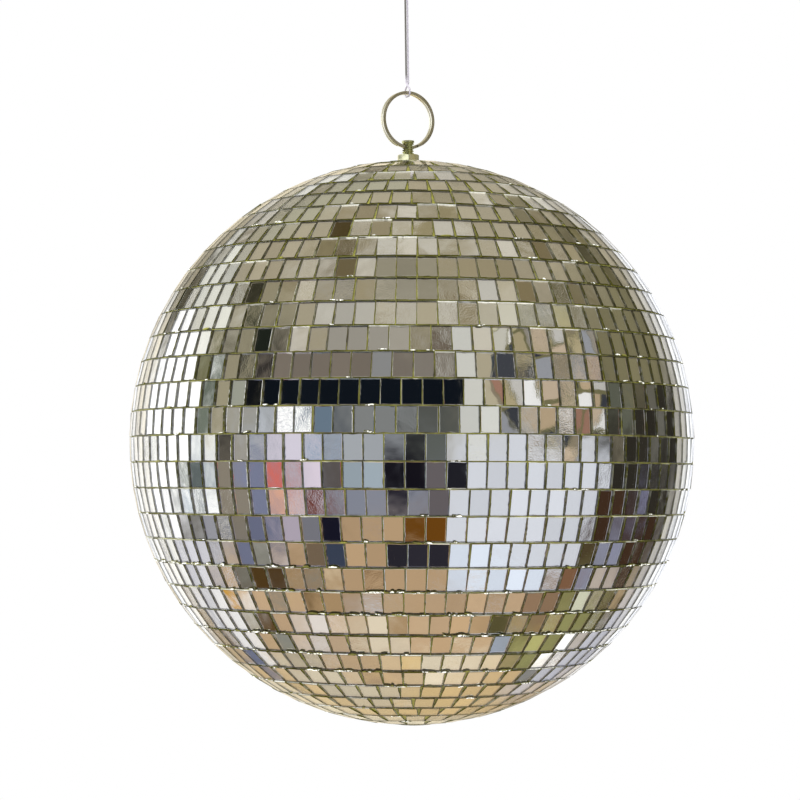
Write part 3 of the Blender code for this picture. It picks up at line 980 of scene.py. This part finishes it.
def row_plan(latitude):
    """How many tiles a row holds, and the half widths of each tile's top and bottom."""
    away = abs(latitude)
    half_angle = TILE_HEIGHT / 2 / BALL_RADIUS
    ring = 2 * math.pi * BALL_RADIUS
    narrow = math.cos(min(away + half_angle, math.radians(89.5)))
    wide = math.cos(away - half_angle)
    fitting = (TILE_WIDTH + NARROW_GAP) * math.cos(away) / max(narrow, 0.05)
    pitch = min(max(COLUMN_PITCH, fitting), WIDEST_PITCH)
    count = max(5, round(ring * math.cos(away) / pitch))
    narrow_half = min(TILE_WIDTH, ring * narrow / count - NARROW_GAP) / 2
    wide_half = min(TILE_WIDTH * 1.02, ring * wide / count - 2 * NARROW_GAP) / 2
    if latitude > 0:
        return count, narrow_half, wide_half
    return count, wide_half, narrow_half


def make_rows():
    """Each row starts at its own longitude, and its tiles drift a little from an even pitch."""
    for number in range(1, 2 * ROWS_EACH_SIDE + 1):
        seam = ROWS_EACH_SIDE + 1 - number
        upper, lower = seam_latitude(seam), seam_latitude(seam - 1)
        latitude = (upper + lower) / 2
        away = abs(latitude)
        count, top, bottom = row_plan(latitude)
        loose = eased((away - math.radians(25)) / math.radians(45))
        row = TileRow()
        phase = jog.uniform(0, 2 * math.pi)
        step = 2 * math.pi / count
        drift, shine = 0.0, 0.0
        for i in range(count):
            drift = 0.7 * drift + jog.gauss(0, DRIFT)
            longitude = phase + step * i + drift / (BALL_RADIUS * math.cos(away))
            spread, twist = TILT + POLE_TILT * loose, TWIST + POLE_TWIST * loose
            tilt = (jog.gauss(0, spread), jog.gauss(0, spread), jog.gauss(0, twist))
            wave = jog.choice(FLAT_WAVES) if jog.random() < FLAT_TILES else jog.uniform(0.3, 1.0)
            shine = 0.6 * shine + jog.gauss(0, 0.5)
            dull = DULL_ABOVE if latitude > 0 else DULL_BELOW
            glint = min(max(1.6 * (shine - dull), 0.0), 0.9)
            row.add(
                longitude, latitude, top, bottom, TILE_HEIGHT - 0.00004, tilt, jog.random(), wave,
                glint, BALL_RADIUS - 0.00022 + jog.gauss(0, 0.00003), jog.gauss(0, 0.00004),
            )
        row.build(f"mirror_tiles_row_{number:02d}", f"tile_row_{number:02d}")
        bed_gaps.append(row.edges)


make_rows()


def make_closing_disc():
    """A round cut of the same mirror glass over the gap at the south pole."""
    low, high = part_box("closing_mirror_disc")
    radius = (high[0] - low[0]) / 2
    bottom, top = low[2] - BALL_CENTRE.z, high[2] - BALL_CENTRE.z
    soft = 0.00016
    disc = turned("closing_disc", [
        (0, bottom), (radius - 1.6 * soft, bottom), (radius, bottom + soft), (radius, top), (0, top),
    ], 64, GLASS)
    disc.data.materials.append(SILVER)
    disc.data.materials.append(CUT_EDGE)
    finish = []
    for face in disc.data.polygons:
        upright = abs(face.normal.z)
        finish.append(EDGE_SLOT if upright < 0.3 else SILVER_SLOT if face.normal.z > 0.9 else GLASS_SLOT)
    disc.data.polygons.foreach_set("material_index", finish)
    each = len(finish)
    add_face_values(disc, tile_tone=[0.5] * each, tile_wave=[0.05] * each, edge_clean=[1.0] * each)
    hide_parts("closing_mirror_disc")
    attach(disc, "ball")


make_closing_disc()


# --- adhesive -----------------------------------------------------------------------------
FILM_RADIUS = COAT_RADIUS - 0.0001
FOOT_RADIUS = FILM_RADIUS - 0.0002
# How far below the tiles' faces the adhesive stays, and how much its height varies.
RIDGE_DEPTH, RIDGE_JOG = 0.00052, 0.00006
SEAM_DEPTH, SEAM_JOG = 0.00055, 0.00010
# How far a ridge stays off the tiles beside it, as a share of the gap.
RIDGE_INSET = 0.04


def add_film(points, faces):
    """The adhesive film under the tiles, from the south pole up to the top seam."""
    around, levels = 128, 72
    low, high = math.radians(-90), seam_latitude(ROWS_EACH_SIDE)
    points.append(BALL_CENTRE + FILM_RADIUS * globe(0, low))
    rings = []
    for level in range(1, levels + 1):
        latitude = low + (high - low) * level / levels
        rings.append(list(range(len(points), len(points) + around)))
        for k in range(around):
            points.append(BALL_CENTRE + FILM_RADIUS * globe(2 * math.pi * k / around, latitude))
    for k in range(around):
        faces.append((0, rings[0][(k + 1) % around], rings[0][k]))
    join_rings(faces, rings)


def add_ridge(points, faces, outline):
    """A block of adhesive between two tiles, from the film up, over a four-cornered outline."""
    start = len(points)
    rays = [(corner - BALL_CENTRE).normalized() for corner in outline]
    for ray in rays:
        points.append(BALL_CENTRE + ray * FOOT_RADIUS)
    for ray in rays:
        height = BALL_RADIUS - RIDGE_DEPTH - abs(jog.gauss(0, RIDGE_JOG))
        points.append(BALL_CENTRE + ray * height)
    faces.append(tuple(start + k for k in (4, 5, 6, 7)))
    for k in range(4):
        j = (k + 1) % 4
        faces.append((start + k, start + j, start + 4 + j, start + 4 + k))


def add_seam(points, faces, latitude):
    """The adhesive that fills the seam between two rows, all the way round."""
    laid = lean(latitude)
    steps = max(24, round(220 * math.cos(latitude)))
    half = (ROW_GAP / 2 - 0.00004) / BALL_RADIUS
    tops = [BALL_RADIUS - SEAM_DEPTH - abs(jog.gauss(0, SEAM_JOG)) for _ in range(steps)]
    feet = [FOOT_RADIUS] * steps
    rings = []
    for edge, radii in ((-half, feet), (-half, tops), (half, tops), (half, feet)):
        rings.append(list(range(len(points), len(points) + steps)))
        for k, radius in enumerate(radii):
            points.append(BALL_CENTRE + radius * laid @ globe(2 * math.pi * k / steps, latitude + edge))
    join_rings(faces, rings)


def make_coat():
    """The film, the ridges of it squeezed up between the tiles, and the filled seams."""
    points, faces = [], []
    add_film(points, faces)
    for edges in bed_gaps:
        for here, there in zip(edges, edges[1:] + edges[:1]):
            _, right_low, right_high, _ = here
            left_low, _, _, left_high = there
            add_ridge(points, faces, [
                right_low.lerp(left_low, RIDGE_INSET), left_low.lerp(right_low, RIDGE_INSET),
                left_high.lerp(right_high, RIDGE_INSET), right_high.lerp(left_high, RIDGE_INSET),
            ])
    for seam in range(ROWS_EACH_SIDE, -ROWS_EACH_SIDE - 1, -1):
        add_seam(points, faces, seam_latitude(seam))
    coat = add_mesh("adhesive_bed", points, faces, [ADHESIVE], math.radians(40))
    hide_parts("adhesive_coat")
    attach(coat, "ball")


make_coat()


CHIP_SLOT, BED_SLOT = range(2)
# The seams with many slivers on them, low on the ball, counted from its equator.
BUSY_SEAMS = range(-11, -4)
CHIPS_ROUND_BUSY_SEAM = 210
QUIET_SHARE = 0.10
# What is left of a sliver's length and width at its top.
CHIP_TOP_LENGTH, CHIP_TOP_WIDTH = 0.92, 0.85
GLASS_ON_BED = 0.78


def make_chips():
    """Slivers of glass, set in squeezed-up adhesive, left standing along some seams."""
    points, faces, finish = [], [], []

    def block(axes, middle, outline, low, high, slot):
        """A sliver over an outline of (x, y, lift), from low to as much of high as lift says."""
        east, north, outward_way = axes
        start = len(points)
        count = len(outline)
        for x, y, lift in outline:
            points.append(middle + east * x + north * y + outward_way * low)
        for x, y, lift in outline:
            points.append(
                middle + east * x * CHIP_TOP_LENGTH + north * y * CHIP_TOP_WIDTH
                + outward_way * high * lift
            )
        foot, top = (list(range(start + count * i, start + count * (i + 1))) for i in range(2))
        faces.append(tuple(reversed(foot)))
        faces.append(tuple(top))
        join_rings(faces, [foot, top])
        finish.extend([slot] * (count + 2))

    for seam in range(-15, 13):
        busy = seam in BUSY_SEAMS
        latitude = seam_latitude(seam)
        count = round(CHIPS_ROUND_BUSY_SEAM * math.cos(latitude) * (1.0 if busy else QUIET_SHARE))
        for _ in range(count):
            longitude = jog.uniform(0, 2 * math.pi)
            if busy and math.sin(3 * longitude + 1.7 * seam) < -0.45:
                continue
            axes = laid_axes(longitude, latitude)
            middle = BALL_CENTRE + axes[2] * BALL_RADIUS + axes[1] * jog.uniform(0.0001, 0.0007)
            length = jog.uniform(0.0008, 0.0032)
            width = jog.uniform(0.00028, 0.00072)
            bow = jog.uniform(-0.5, 0.9) * width
            turned_by = jog.gauss(0, 0.12)
            outline = []
            for k in range(8):
                angle = 2 * math.pi * (k + jog.uniform(-0.2, 0.2)) / 8
                x = length * math.cos(angle)
                y = width * math.sin(angle) + bow * (1 - (x / length) ** 2)
                outline.append((x, y + x * turned_by, jog.uniform(0.5, 1.0)))
            block(axes, middle, outline, -0.0009, 0.00010, BED_SLOT)
            if jog.random() < GLASS_ON_BED:
                inner = [(0.90 * x, 0.70 * y + bow * 0.2, lift) for x, y, lift in outline]
                block(axes, middle, inner, -0.0003, jog.uniform(0.00022, 0.00050), CHIP_SLOT)
    chips = add_mesh("seam_chips", points, faces, [CHIP, ADHESIVE], face_finish=finish)
    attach(chips, "ball")


make_chips()


# --- surroundings -------------------------------------------------------------------------
def linear(channel):
    channel /= 255
    return channel / 12.92 if channel <= 0.04045 else ((channel + 0.055) / 1.055) ** 2.4


def seen(*colour):
    """The light that shows as this display colour once a tile has reflected it."""
    return np.array([linear(c) / (0.90 * t + 0.043) for c, t in zip(colour, TILE_TINT)])


# Patches of the room round the ball: azimuth from the camera's side, elevation, half width,
# half height, softness (all degrees), and the colour that the tiles show.
ROOM = (
    ("right_wall", 100, 22, 36, 14, 6, (122, 116, 88)),
    ("left_wall", -75, 12, 14, 38, 5, (148, 141, 118)),
    ("front_wall", -27, 8, 35, 7, 2, (132, 134, 134)),
    ("front_wall_right", 8, 7, 9, 6, 3, (80, 82, 78)),
    ("front_wall_middle", -27, -2, 33, 6, 2, (158, 162, 168)),
    ("front_wall_dim", 7, -2, 10, 5.4, 2, (90, 94, 90)),
    ("front_wall_low", -24, -20, 40, 14, 3, (132, 136, 150)),
    ("front_wall_high", -25, 29, 42, 6, 3, (120, 111, 101)),
    ("taupe_grey", -12, 27, 5, 4, 2, (138, 138, 138)),
    ("taupe_light", 3, 27, 4, 4, 2, (128, 122, 114)),
    ("pale_strip", -20, 38, 22, 4, 3, (156, 151, 141)),
    ("brown_strip", 12, 37, 5, 4, 2, (112, 102, 92)),
    ("taupe_high", 0, 67, 30, 8, 5, (140, 134, 116)),
    ("pale_high_left", -156, 51, 24, 9, 6, (172, 168, 146)),
    ("cream_floor_left", -156, -52, 22, 10, 6, (200, 188, 164)),
    ("wood", -6, -46, 40, 18, 5, (178, 150, 117)),
    ("shelf", -23.5, 17.2, 41, 5.2, 1.2, (15, 20, 27)),
    ("shelf_post", -69, 26, 5, 12, 1.5, (17, 19, 22)),
    ("shelf_gap", -74, 18, 3, 4, 2, (150, 152, 140)),
    ("dark_high", -72, 37, 4, 5, 2, (30, 34, 28)),
    ("dark_left_high", -88, 38, 5, 3.5, 2, (38, 42, 28)),
    ("dark_left_far", -112, 38, 7, 3, 2, (44, 44, 34)),
    ("beam", -98, 71, 26, 3.2, 3, (78, 66, 40)),
    ("beam_near", -58, 66, 16, 6, 4, (112, 100, 72)),
    ("beam_grey", -50, 62, 7, 4, 3, (104, 104, 100)),
    ("beam_right", 33, 55, 7, 4, 2, (112, 98, 68)),
    ("brown_high", 20, 39, 6, 4, 1.5, (92, 78, 60)),
    ("ceiling_pale", -32, 50, 16, 5, 3, (180, 176, 166)),
    ("ceiling_pale_right", 50, 44, 9, 5, 3, (196, 192, 176)),
    ("lamp", -50, 8.0, 8, 4.4, 1.2, (285, 285, 285)),
    ("pane_blue", -37, 8, 5, 5, 2, (98, 114, 130)),
    ("pane_dark", -29, 8, 2, 5, 1.5, (44, 54, 68)),
    ("blue_grey_left", -67, 2, 7, 7, 2, (176, 180, 188)),
    ("dark_left", -79, -3, 3, 5, 1.5, (18, 22, 24)),
    ("pale_cloth", -50, -2, 9, 4.6, 2, (206, 200, 214)),
    ("pale_blue", -35, -2, 6, 4.6, 2, (152, 166, 186)),
    ("warm_grey_left", -78, -18, 10, 16, 3, (133, 125, 112)),
    ("blue_lilac", -65, -14, 6.5, 12, 2, (122, 127, 152)),
    ("blue_lilac_low", -70, -27, 7, 5, 3, (108, 112, 136)),
    ("red_mark", -54, -11.5, 3.6, 5, 2, (206, 102, 90)),
    ("grey_mark", -46, -11.5, 4, 5, 2, (166, 166, 176)),
    ("lilac_mark", -38, -11.5, 4, 5, 2, (214, 202, 216)),
    ("brown_grey_mark", -31, -11.5, 3, 5, 2, (92, 86, 84)),
    ("pale_blue_low", -19, -11.5, 8, 5, 2, (152, 164, 174)),
    ("salmon_mark", -55, -22, 4.5, 4.6, 1.5, (216, 166, 142)),
    ("lilac_low", -46.5, -22, 4, 4.6, 1.5, (202, 192, 202)),
    ("brick_mark", -38, -22, 3.6, 4.6, 1.2, (106, 44, 18)),
    ("dark_chair", -3, -10, 6.5, 7, 1.5, (20, 18, 25)),
    ("dark_chair_low", -4.5, -22, 4.5, 5, 1.5, (26, 23, 35)),
    ("grey_chair", 8, -17, 5.5, 10, 1.5, (102, 96, 99)),
    ("dark_leg", -34, -32, 4.2, 5, 1.2, (24, 24, 38)),
    ("grey_leg", -44, -32, 4, 5, 2, (112, 112, 120)),
    ("mauve_left", -56, -32, 8, 5, 2, (168, 158, 172)),
    ("brown_box", 6, -32, 8.5, 4.8, 1.2, (106, 66, 20)),
    ("dark_foot", 2.5, -45, 13.5, 5, 1.2, (42, 40, 48)),
    ("navy_foot", -41, -42, 5.5, 4.6, 1.5, (60, 68, 86)),
    ("brown_foot", -52, -42, 5, 4.6, 1.5, (112, 96, 78)),
    ("brown_floor", -25, -52, 6, 4.5, 2, (124, 98, 68)),
    ("grey_floor", -58, -52, 7, 4, 2, (134, 130, 120)),
    ("tan_floor_left", -66, -46, 9, 4, 2, (150, 122, 86)),
    ("cream_floor", -68, -79, 40, 8, 4, (216, 202, 178)),
    ("cream_floor_behind", 142, -77, 34, 10, 5, (228, 214, 188)),
    ("lilac_floor", -46, -68, 12, 3.5, 2.5, (204, 206, 216)),
    ("pale_floor_left", -100, -62, 22, 4.5, 3, (222, 213, 206)),
    ("panel_top", 24, 27, 6.6, 17, 1.2, (204, 203, 196)),
    ("panel_middle", 36, 3, 18, 9, 1.5, (206, 206, 201)),
    ("panel", 52, -24, 34.5, 21, 1.2, (210, 213, 222)),
    ("panel_far", 84, -38, 6, 9, 1.5, (208, 210, 218)),
    ("panel_low", 48, -50, 26, 7, 2, (220, 228, 242)),
    ("dark_edge", 15.5, -11.5, 4, 5, 1.5, (30, 30, 36)),
    ("dark_right", 112, -6, 25, 17, 3, (46, 43, 37)),
    ("dark_right_low", 109, -26, 23, 11, 2, (62, 44, 32)),
    ("slat_grey", 92, 9, 5, 5, 1.5, (92, 94, 82)),
    ("slat_one", 109, -15, 4.5, 5, 2, (122, 122, 146)),
    ("slat_pale", 93, -3, 2.4, 4, 1.2, (150, 152, 150)),
    ("slat_two", 117, 2, 3, 8, 2, (108, 106, 98)),
    ("slat_low", 104, -28, 7.5, 5, 2, (136, 138, 158)),
    ("olive_far", 116, -48, 24, 13, 5, (142, 140, 92)),
    ("olive_dark", 104, -40, 9, 5, 2.5, (88, 84, 52)),
    ("olive_bright", 124, -56, 9, 5, 2.5, (176, 172, 112)),
    ("brown_right", 92, -52, 15, 5, 2, (138, 112, 88)),
    ("brown_right_high", 95, -41, 6, 4.5, 1.5, (128, 94, 70)),
    ("lilac_right", 103, -38, 5, 4, 1.5, (140, 142, 160)),
    ("pink_right", 113, -34, 5, 4, 2, (174, 162, 152)),
    ("pale_right", 111, -44, 5, 4, 2, (208, 208, 184)),
    ("gold_right", 110, -55, 5, 4, 2, (172, 146, 92)),
    ("blue_far", 106, -66, 9, 3, 2, (152, 160, 174)),
    ("olive_glint", 137, -45, 7, 4, 2, (290, 290, 284)),
    ("right_rim", 144, 0, 10, 22, 5, (196, 192, 182)),
    ("right_rim_low", 152, -30, 12, 12, 6, (190, 190, 198)),
    ("right_rim_white", 158, 0, 12, 18, 5, (275, 275, 272)),
    ("window", -112, 2, 25, 24, 3, (290, 290, 288)),
    ("window_high", -122, 33, 22, 6, 3, (228, 227, 216)),
    ("window_lilac", -116, -24, 17, 8, 4, (214, 213, 220)),
    ("window_low", -128, -36, 10, 6, 3, (236, 234, 232)),
    ("window_grey", -92, -6, 4, 9, 2, (168, 176, 182)),
    ("window_leaf", -100, 20, 4, 5, 2, (150, 152, 128)),
    ("window_grey_low", -104, -12, 3, 5, 2, (180, 190, 200)),
    ("window_sill", -112, -19, 12, 1.6, 1.2, (120, 118, 112)),
    ("window_lilac_low", -98, -24, 6, 6, 3, (150, 150, 158)),
    ("mullion", -104, 6, 1.4, 17, 1.4, (128, 132, 122)),
    ("mullion_near", -91, 10, 1.2, 12, 1.2, (96, 104, 92)),
    ("mullion_olive", -97, 24, 1.6, 8, 1.2, (112, 108, 78)),
    ("mullion_second", -127, 4, 1.8, 19, 1.6, (210, 210, 204)),
    ("mullion_dark", -116, -7, 2.2, 5, 1.2, (52, 62, 66)),
    ("mullion_low", -96, -13, 2.4, 7, 1.6, (96, 104, 104)),
    ("mullion_left", -135, -8, 2.0, 11, 1.6, (186, 188, 186)),
    ("mustard", -112, -38, 5, 3, 1.2, (196, 144, 16)),
    ("dark_wood", -86, -42, 13, 4.5, 2.5, (78, 58, 30)),
    ("blue_wood", -87, -31, 6, 4.5, 2, (114, 118, 142)),
    ("window_far", -146, -6, 12, 14, 3, (266, 262, 252)),
    ("curtain", -148, 9, 9, 7, 3, (250, 242, 222)),
    ("left_rim_white", -160, -2, 5, 15, 3, (275, 275, 270)),
    ("left_rim_cream", -174, -2, 10, 28, 5, (240, 226, 192)),
)

# Areas with many small things in them: middle and reach in azimuth, the same in elevation,
# how many, and their colours.
CLUTTER = (
    (0, 180, 62, 26, 150, (
        (196, 190, 176), (204, 200, 190), (150, 139, 112), (168, 158, 134), (140, 130, 100),
    )),
    (0, 180, 40, 14, 110, (
        (200, 195, 183), (148, 138, 110), (120, 108, 80), (172, 164, 144), (132, 124, 98),
    )),
    (-120, 55, 34, 16, 26, (
        (70, 62, 40), (52, 50, 38), (190, 186, 170), (222, 220, 210), (126, 116, 86),
    )),
    (100, 45, 26, 20, 34, (
        (62, 58, 42), (84, 78, 54), (150, 144, 116), (120, 112, 80), (34, 34, 28),
    )),
    (96, 28, -6, 20, 26, ((26, 25, 22), (96, 92, 78), (60, 58, 50), (130, 126, 118))),
    (-112, 45, -40, 18, 44, (
        (200, 192, 192), (154, 144, 122), (92, 70, 40), (232, 230, 228), (126, 126, 118),
        (112, 116, 136),
    )),
    (-60, 30, -56, 16, 18, ((196, 166, 126), (150, 122, 86), (210, 190, 160), (126, 112, 92))),
    (120, 40, -46, 22, 34, (
        (110, 104, 58), (160, 156, 108), (88, 82, 52), (186, 182, 140), (150, 126, 92),
    )),
    (0, 180, -72, 16, 60, ((190, 160, 124), (168, 140, 104), (206, 182, 146), (178, 152, 122))),
)
# What the room has where nothing else is: its walls, its floor, and the floor behind the ball.
WALL, FLOOR, FLOOR_BEHIND = (170, 161, 138), (188, 160, 128), (212, 184, 134)
DOME_RADIUS = 12.0
DOME_COLUMNS, DOME_ROWS = 960, 480


def mottle(az, el, waves):
    """Uneven shading over the whole dome, between -1 and 1, from many crossed waves."""
    total = np.zeros_like(az)
    for octave in (3, 5, 8, 13, 21, 34):
        for _ in range(5):
            bend = waves.uniform(-1, 1)
            total += np.sin(
                octave * (np.radians(az) * waves.choice((-1, 1)) + bend * np.radians(el) * 1.6)
                + waves.uniform(0, 6.28)
            ) / octave**0.55
    return total / np.abs(total).max()


def paint_room(azimuth, elevation):
    """The colour at each elevation and azimuth: plain walls and floor, then clutter, then ROOM."""
    az, el = np.meshgrid(azimuth, elevation)
    waves = random.Random(5)
    shading = mottle(az, el, waves)

    def lay(middle_az, middle_el, half_az, half_el, soft, colour):
        """Lays one soft-edged patch over what is painted already."""
        across = np.abs((azimuth - middle_az + 180) % 360 - 180)
        up = np.abs(elevation - middle_el)
        share = []
        for distance, half in ((up, half_el), (across, half_az)):
            t = np.clip((half + soft - distance) / (2 * soft), 0, 1)
            share.append(t * t * (3 - 2 * t))
        here = np.ix_(share[0] > 0, share[1] > 0)
        mask = (share[0][:, None] * share[1])[here][..., None]
        paint[here] = paint[here] * (1 - mask) + seen(*colour) * mask

    floor_mix = np.clip((-el - 8) / 30, 0, 1)[..., None]
    paint = seen(*WALL) * (1 - floor_mix) + seen(*FLOOR) * floor_mix
    behind = (np.clip((np.abs(az) - 120) / 50, 0, 1) * np.clip((-el - 12) / 20, 0, 1))[..., None]
    paint = paint * (1 - behind) + seen(*FLOOR_BEHIND) * behind
    for middle_az, reach_az, middle_el, reach_el, many, colours in CLUTTER:
        for _ in range(many):
            at = middle_el + waves.uniform(-reach_el, reach_el)
            widen = 1 / max(math.cos(math.radians(at)), 0.25)
            lay(
                middle_az + waves.uniform(-reach_az, reach_az), at,
                waves.uniform(2.0, 5.5) * widen, waves.uniform(2.0, 5.0), waves.uniform(0.8, 2.2),
                waves.choice(colours),
            )
    for _, *patch in ROOM:
        lay(*patch)
    strength = 0.05 + 0.08 * np.clip((np.abs(el + 5) - 25) / 25, 0, 1)
    return paint * (1 + (strength * shading))[..., None]


def make_surroundings():
    """A dome that only reflections see, with the room painted in its vertices."""
    azimuth = np.linspace(-180, 180, DOME_COLUMNS + 1)[:-1]
    elevation = np.linspace(-89.9, 89.9, DOME_ROWS)
    paint = paint_room(azimuth, elevation).reshape(-1, 3)
    turn, lift = np.meshgrid(np.radians(azimuth) + CAMERA_AZIMUTH, np.radians(elevation))
    place = np.stack([
        DOME_RADIUS * np.sin(turn) * np.cos(lift), -DOME_RADIUS * np.cos(turn) * np.cos(lift),
        DOME_RADIUS * np.sin(lift) + BALL_CENTRE.z,
    ], -1).reshape(-1, 3)
    grid = np.arange(DOME_COLUMNS * DOME_ROWS).reshape(DOME_ROWS, DOME_COLUMNS)
    right = np.roll(grid, -1, axis=1)
    quads = np.stack([grid[:-1], grid[1:], right[1:], right[:-1]], -1).reshape(-1, 4)
    mesh = bpy.data.meshes.new("surroundings")
    mesh.vertices.add(len(place))
    mesh.vertices.foreach_set("co", place.astype(np.float32).ravel())
    mesh.loops.add(quads.size)
    mesh.loops.foreach_set("vertex_index", quads.astype(np.int32).ravel())
    mesh.polygons.add(len(quads))
    mesh.polygons.foreach_set("loop_start", np.arange(0, quads.size, 4, dtype=np.int32))
    mesh.polygons.foreach_set("loop_total", np.full(len(quads), 4, dtype=np.int32))
    mesh.update()
    paint = np.concatenate([paint, np.ones((len(place), 1))], 1)
    layer = mesh.color_attributes.new("room", "FLOAT_COLOR", "POINT")
    layer.data.foreach_set("color", paint.astype(np.float32).ravel())
    mesh.materials.append(glow_finish())
    dome = bpy.data.objects.new("surroundings", mesh)
    scene.collection.objects.link(dome)
    only_reflected(dome)


def glow_finish():
    """Gives off the colour painted on the mesh as "room"."""
    glow = Finish("surroundings")
    light = glow.node("ShaderNodeEmission", Color=glow.attribute("room", "Color"))
    glow.tree.links.new(light.outputs[0], glow.tree.nodes["Material Output"].inputs["Surface"])
    glow.material.cycles.emission_sampling = "NONE"
    return glow.material


def only_reflected(made):
    made.visible_camera = False
    made.visible_diffuse = False
    made.visible_shadow = False
    made.visible_volume_scatter = False


# A second, bigger ball's place from this one's centre: to the right, towards the camera, and up.
SECOND_BALL = (0.47, 0.347, 0.195)
SECOND_BALL_RADIUS = 0.25
# The colours of its tiles, by the lowest height of the rows that they are in.
SECOND_BALL_COLOURS = (
    (0.09, (
        (188, 184, 160), (170, 164, 140), (210, 208, 194), (140, 133, 108), (198, 198, 188),
        (128, 124, 106), (180, 180, 172),
    )),
    (0.00, (
        (38, 44, 52), (60, 66, 72), (112, 118, 122), (246, 246, 246), (142, 134, 96), (176, 168, 132),
        (132, 128, 100), (184, 181, 170), (148, 145, 134), (172, 168, 150), (212, 210, 204),
    )),
    (-1.0, (
        (188, 170, 148), (148, 112, 96), (128, 118, 100), (224, 223, 222), (168, 156, 124),
        (48, 52, 64), (60, 62, 68), (146, 140, 130), (148, 150, 156), (176, 156, 128), (188, 185, 180),
    )),
)


# As an angle, its rows are half as far apart again as this ball's.
SECOND_BALL_ROW = 1.5 * ROW_PITCH
SECOND_BALL_COLUMNS = 62
SECOND_BALL_GAPS = (112, 108, 78)
SECOND_BALL_TILE_HEIGHT = 0.93
SECOND_BALL_TILE_EDGE = 0.04


def make_second_ball():
    """Another ball that hangs close by on the right. Only reflections see it, tile by tile."""
    side, back, up = SECOND_BALL
    centre = BALL_CENTRE + RIGHT * side + BACK * back + Vector((0, 0, up))
    pick = random.Random(8)
    points, faces, paint = [], [], []

    def patch(radius, left, right, low, high, colour):
        start = len(points)
        for corner in ((left, low), (right, low), (right, high), (left, high)):
            points.append(centre + radius * globe(*corner))
        faces.append(tuple(range(start, start + 4)))
        paint.extend([*seen(*colour), 1.0])

    half = SECOND_BALL_ROW / 2
    inner = SECOND_BALL_TILE_HEIGHT * half
    for row in range(-14, 15):
        latitude = row * SECOND_BALL_ROW
        columns = max(6, round(SECOND_BALL_COLUMNS * math.cos(latitude)))
        step = 2 * math.pi / columns
        first = pick.uniform(0, step)
        height = SECOND_BALL_RADIUS * math.sin(latitude)
        colours = next(colours for lowest, colours in SECOND_BALL_COLOURS if height > lowest)
        for column in range(columns):
            left = first + step * column
            patch(
                SECOND_BALL_RADIUS * 0.994, left, left + step, latitude - half, latitude + half,
                SECOND_BALL_GAPS,
            )
            patch(
                SECOND_BALL_RADIUS, left + SECOND_BALL_TILE_EDGE * step,
                left + (1 - SECOND_BALL_TILE_EDGE) * step, latitude - inner, latitude + inner,
                pick.choice(colours),
            )
    ball = add_mesh("second_ball", points, faces, [glow_finish()])
    ball.data.attributes.new("room", "FLOAT_COLOR", "FACE").data.foreach_set("color", paint)
    only_reflected(ball)


FLOOR_LEVEL = -2.4
FLOOR_RADIUS = 9.0
FADE_START, FADE_END = 3.0, 8.5


def make_floor():
    """A plain pale floor well below the ball, fading out at its edge."""
    f = Finish("pale_floor", Roughness=0.7)
    grain = f.noise(3, 4)
    f.wire(Base_Color=f.ramp(grain, (0.3, (0.80, 0.79, 0.77)), (0.7, (0.86, 0.85, 0.83))))
    across = f.node("ShaderNodeVectorMath", {"operation": "LENGTH"})
    f.tree.links.new(f.place(), across.inputs[0])
    fade = f.span(across.outputs["Value"], FADE_START, FADE_END, 0, 1, smooth=True)
    clear = f.node("ShaderNodeBsdfTransparent")
    mixed = f.node("ShaderNodeMixShader")
    f.tree.links.new(fade, mixed.inputs[0])
    f.tree.links.new(f.shader.outputs[0], mixed.inputs[1])
    f.tree.links.new(clear.outputs[0], mixed.inputs[2])
    f.tree.links.new(mixed.outputs[0], f.tree.nodes["Material Output"].inputs["Surface"])
    sides, rings = 96, 6
    points, faces = [(0, 0, 0)], []
    for ring in range(1, rings + 1):
        for k in range(sides):
            angle = 2 * math.pi * k / sides
            r = FLOOR_RADIUS * ring / rings
            points.append((r * math.cos(angle), r * math.sin(angle), 0))
    for k in range(sides):
        j = (k + 1) % sides
        faces.append((0, 1 + k, 1 + j))
        for ring in range(rings - 1):
            a, b = 1 + ring * sides, 1 + (ring + 1) * sides
            faces.append((a + k, b + k, b + j, a + j))
    floor = add_mesh("floor", points, faces, [f.material])
    floor.location.z = FLOOR_LEVEL
    floor.visible_glossy = False
    floor.visible_transmission = False


def make_lights():
    """Even white light all round, a large soft light high on the left, and a weaker one above."""
    world = bpy.data.worlds.new("studio")
    world.use_nodes = True
    background = world.node_tree.nodes["Background"]
    background.inputs["Color"].default_value = (1, 1, 1, 1)
    background.inputs["Strength"].default_value = 1.0
    scene.world = world
    scene.view_settings.view_transform = "Standard"
    for name, azimuth, elevation, size, power, distance in (
        ("soft_key", -95, 30, 1.6, 55, 2.6), ("soft_top", 10, 75, 1.4, 25, 2.4),
    ):
        data = bpy.data.lights.new(name, "AREA")
        data.size = size
        data.energy = power
        lamp = bpy.data.objects.new(name, data)
        way = direction(CAMERA_AZIMUTH + math.radians(azimuth), math.radians(elevation))
        lamp.location = BALL_CENTRE + way * distance
        lamp.rotation_euler = (-way).to_track_quat("-Z", "Y").to_euler()
        lamp.visible_glossy = False
        lamp.visible_transmission = False
        scene.collection.objects.link(lamp)


make_surroundings()
make_second_ball()
make_floor()
make_lights()
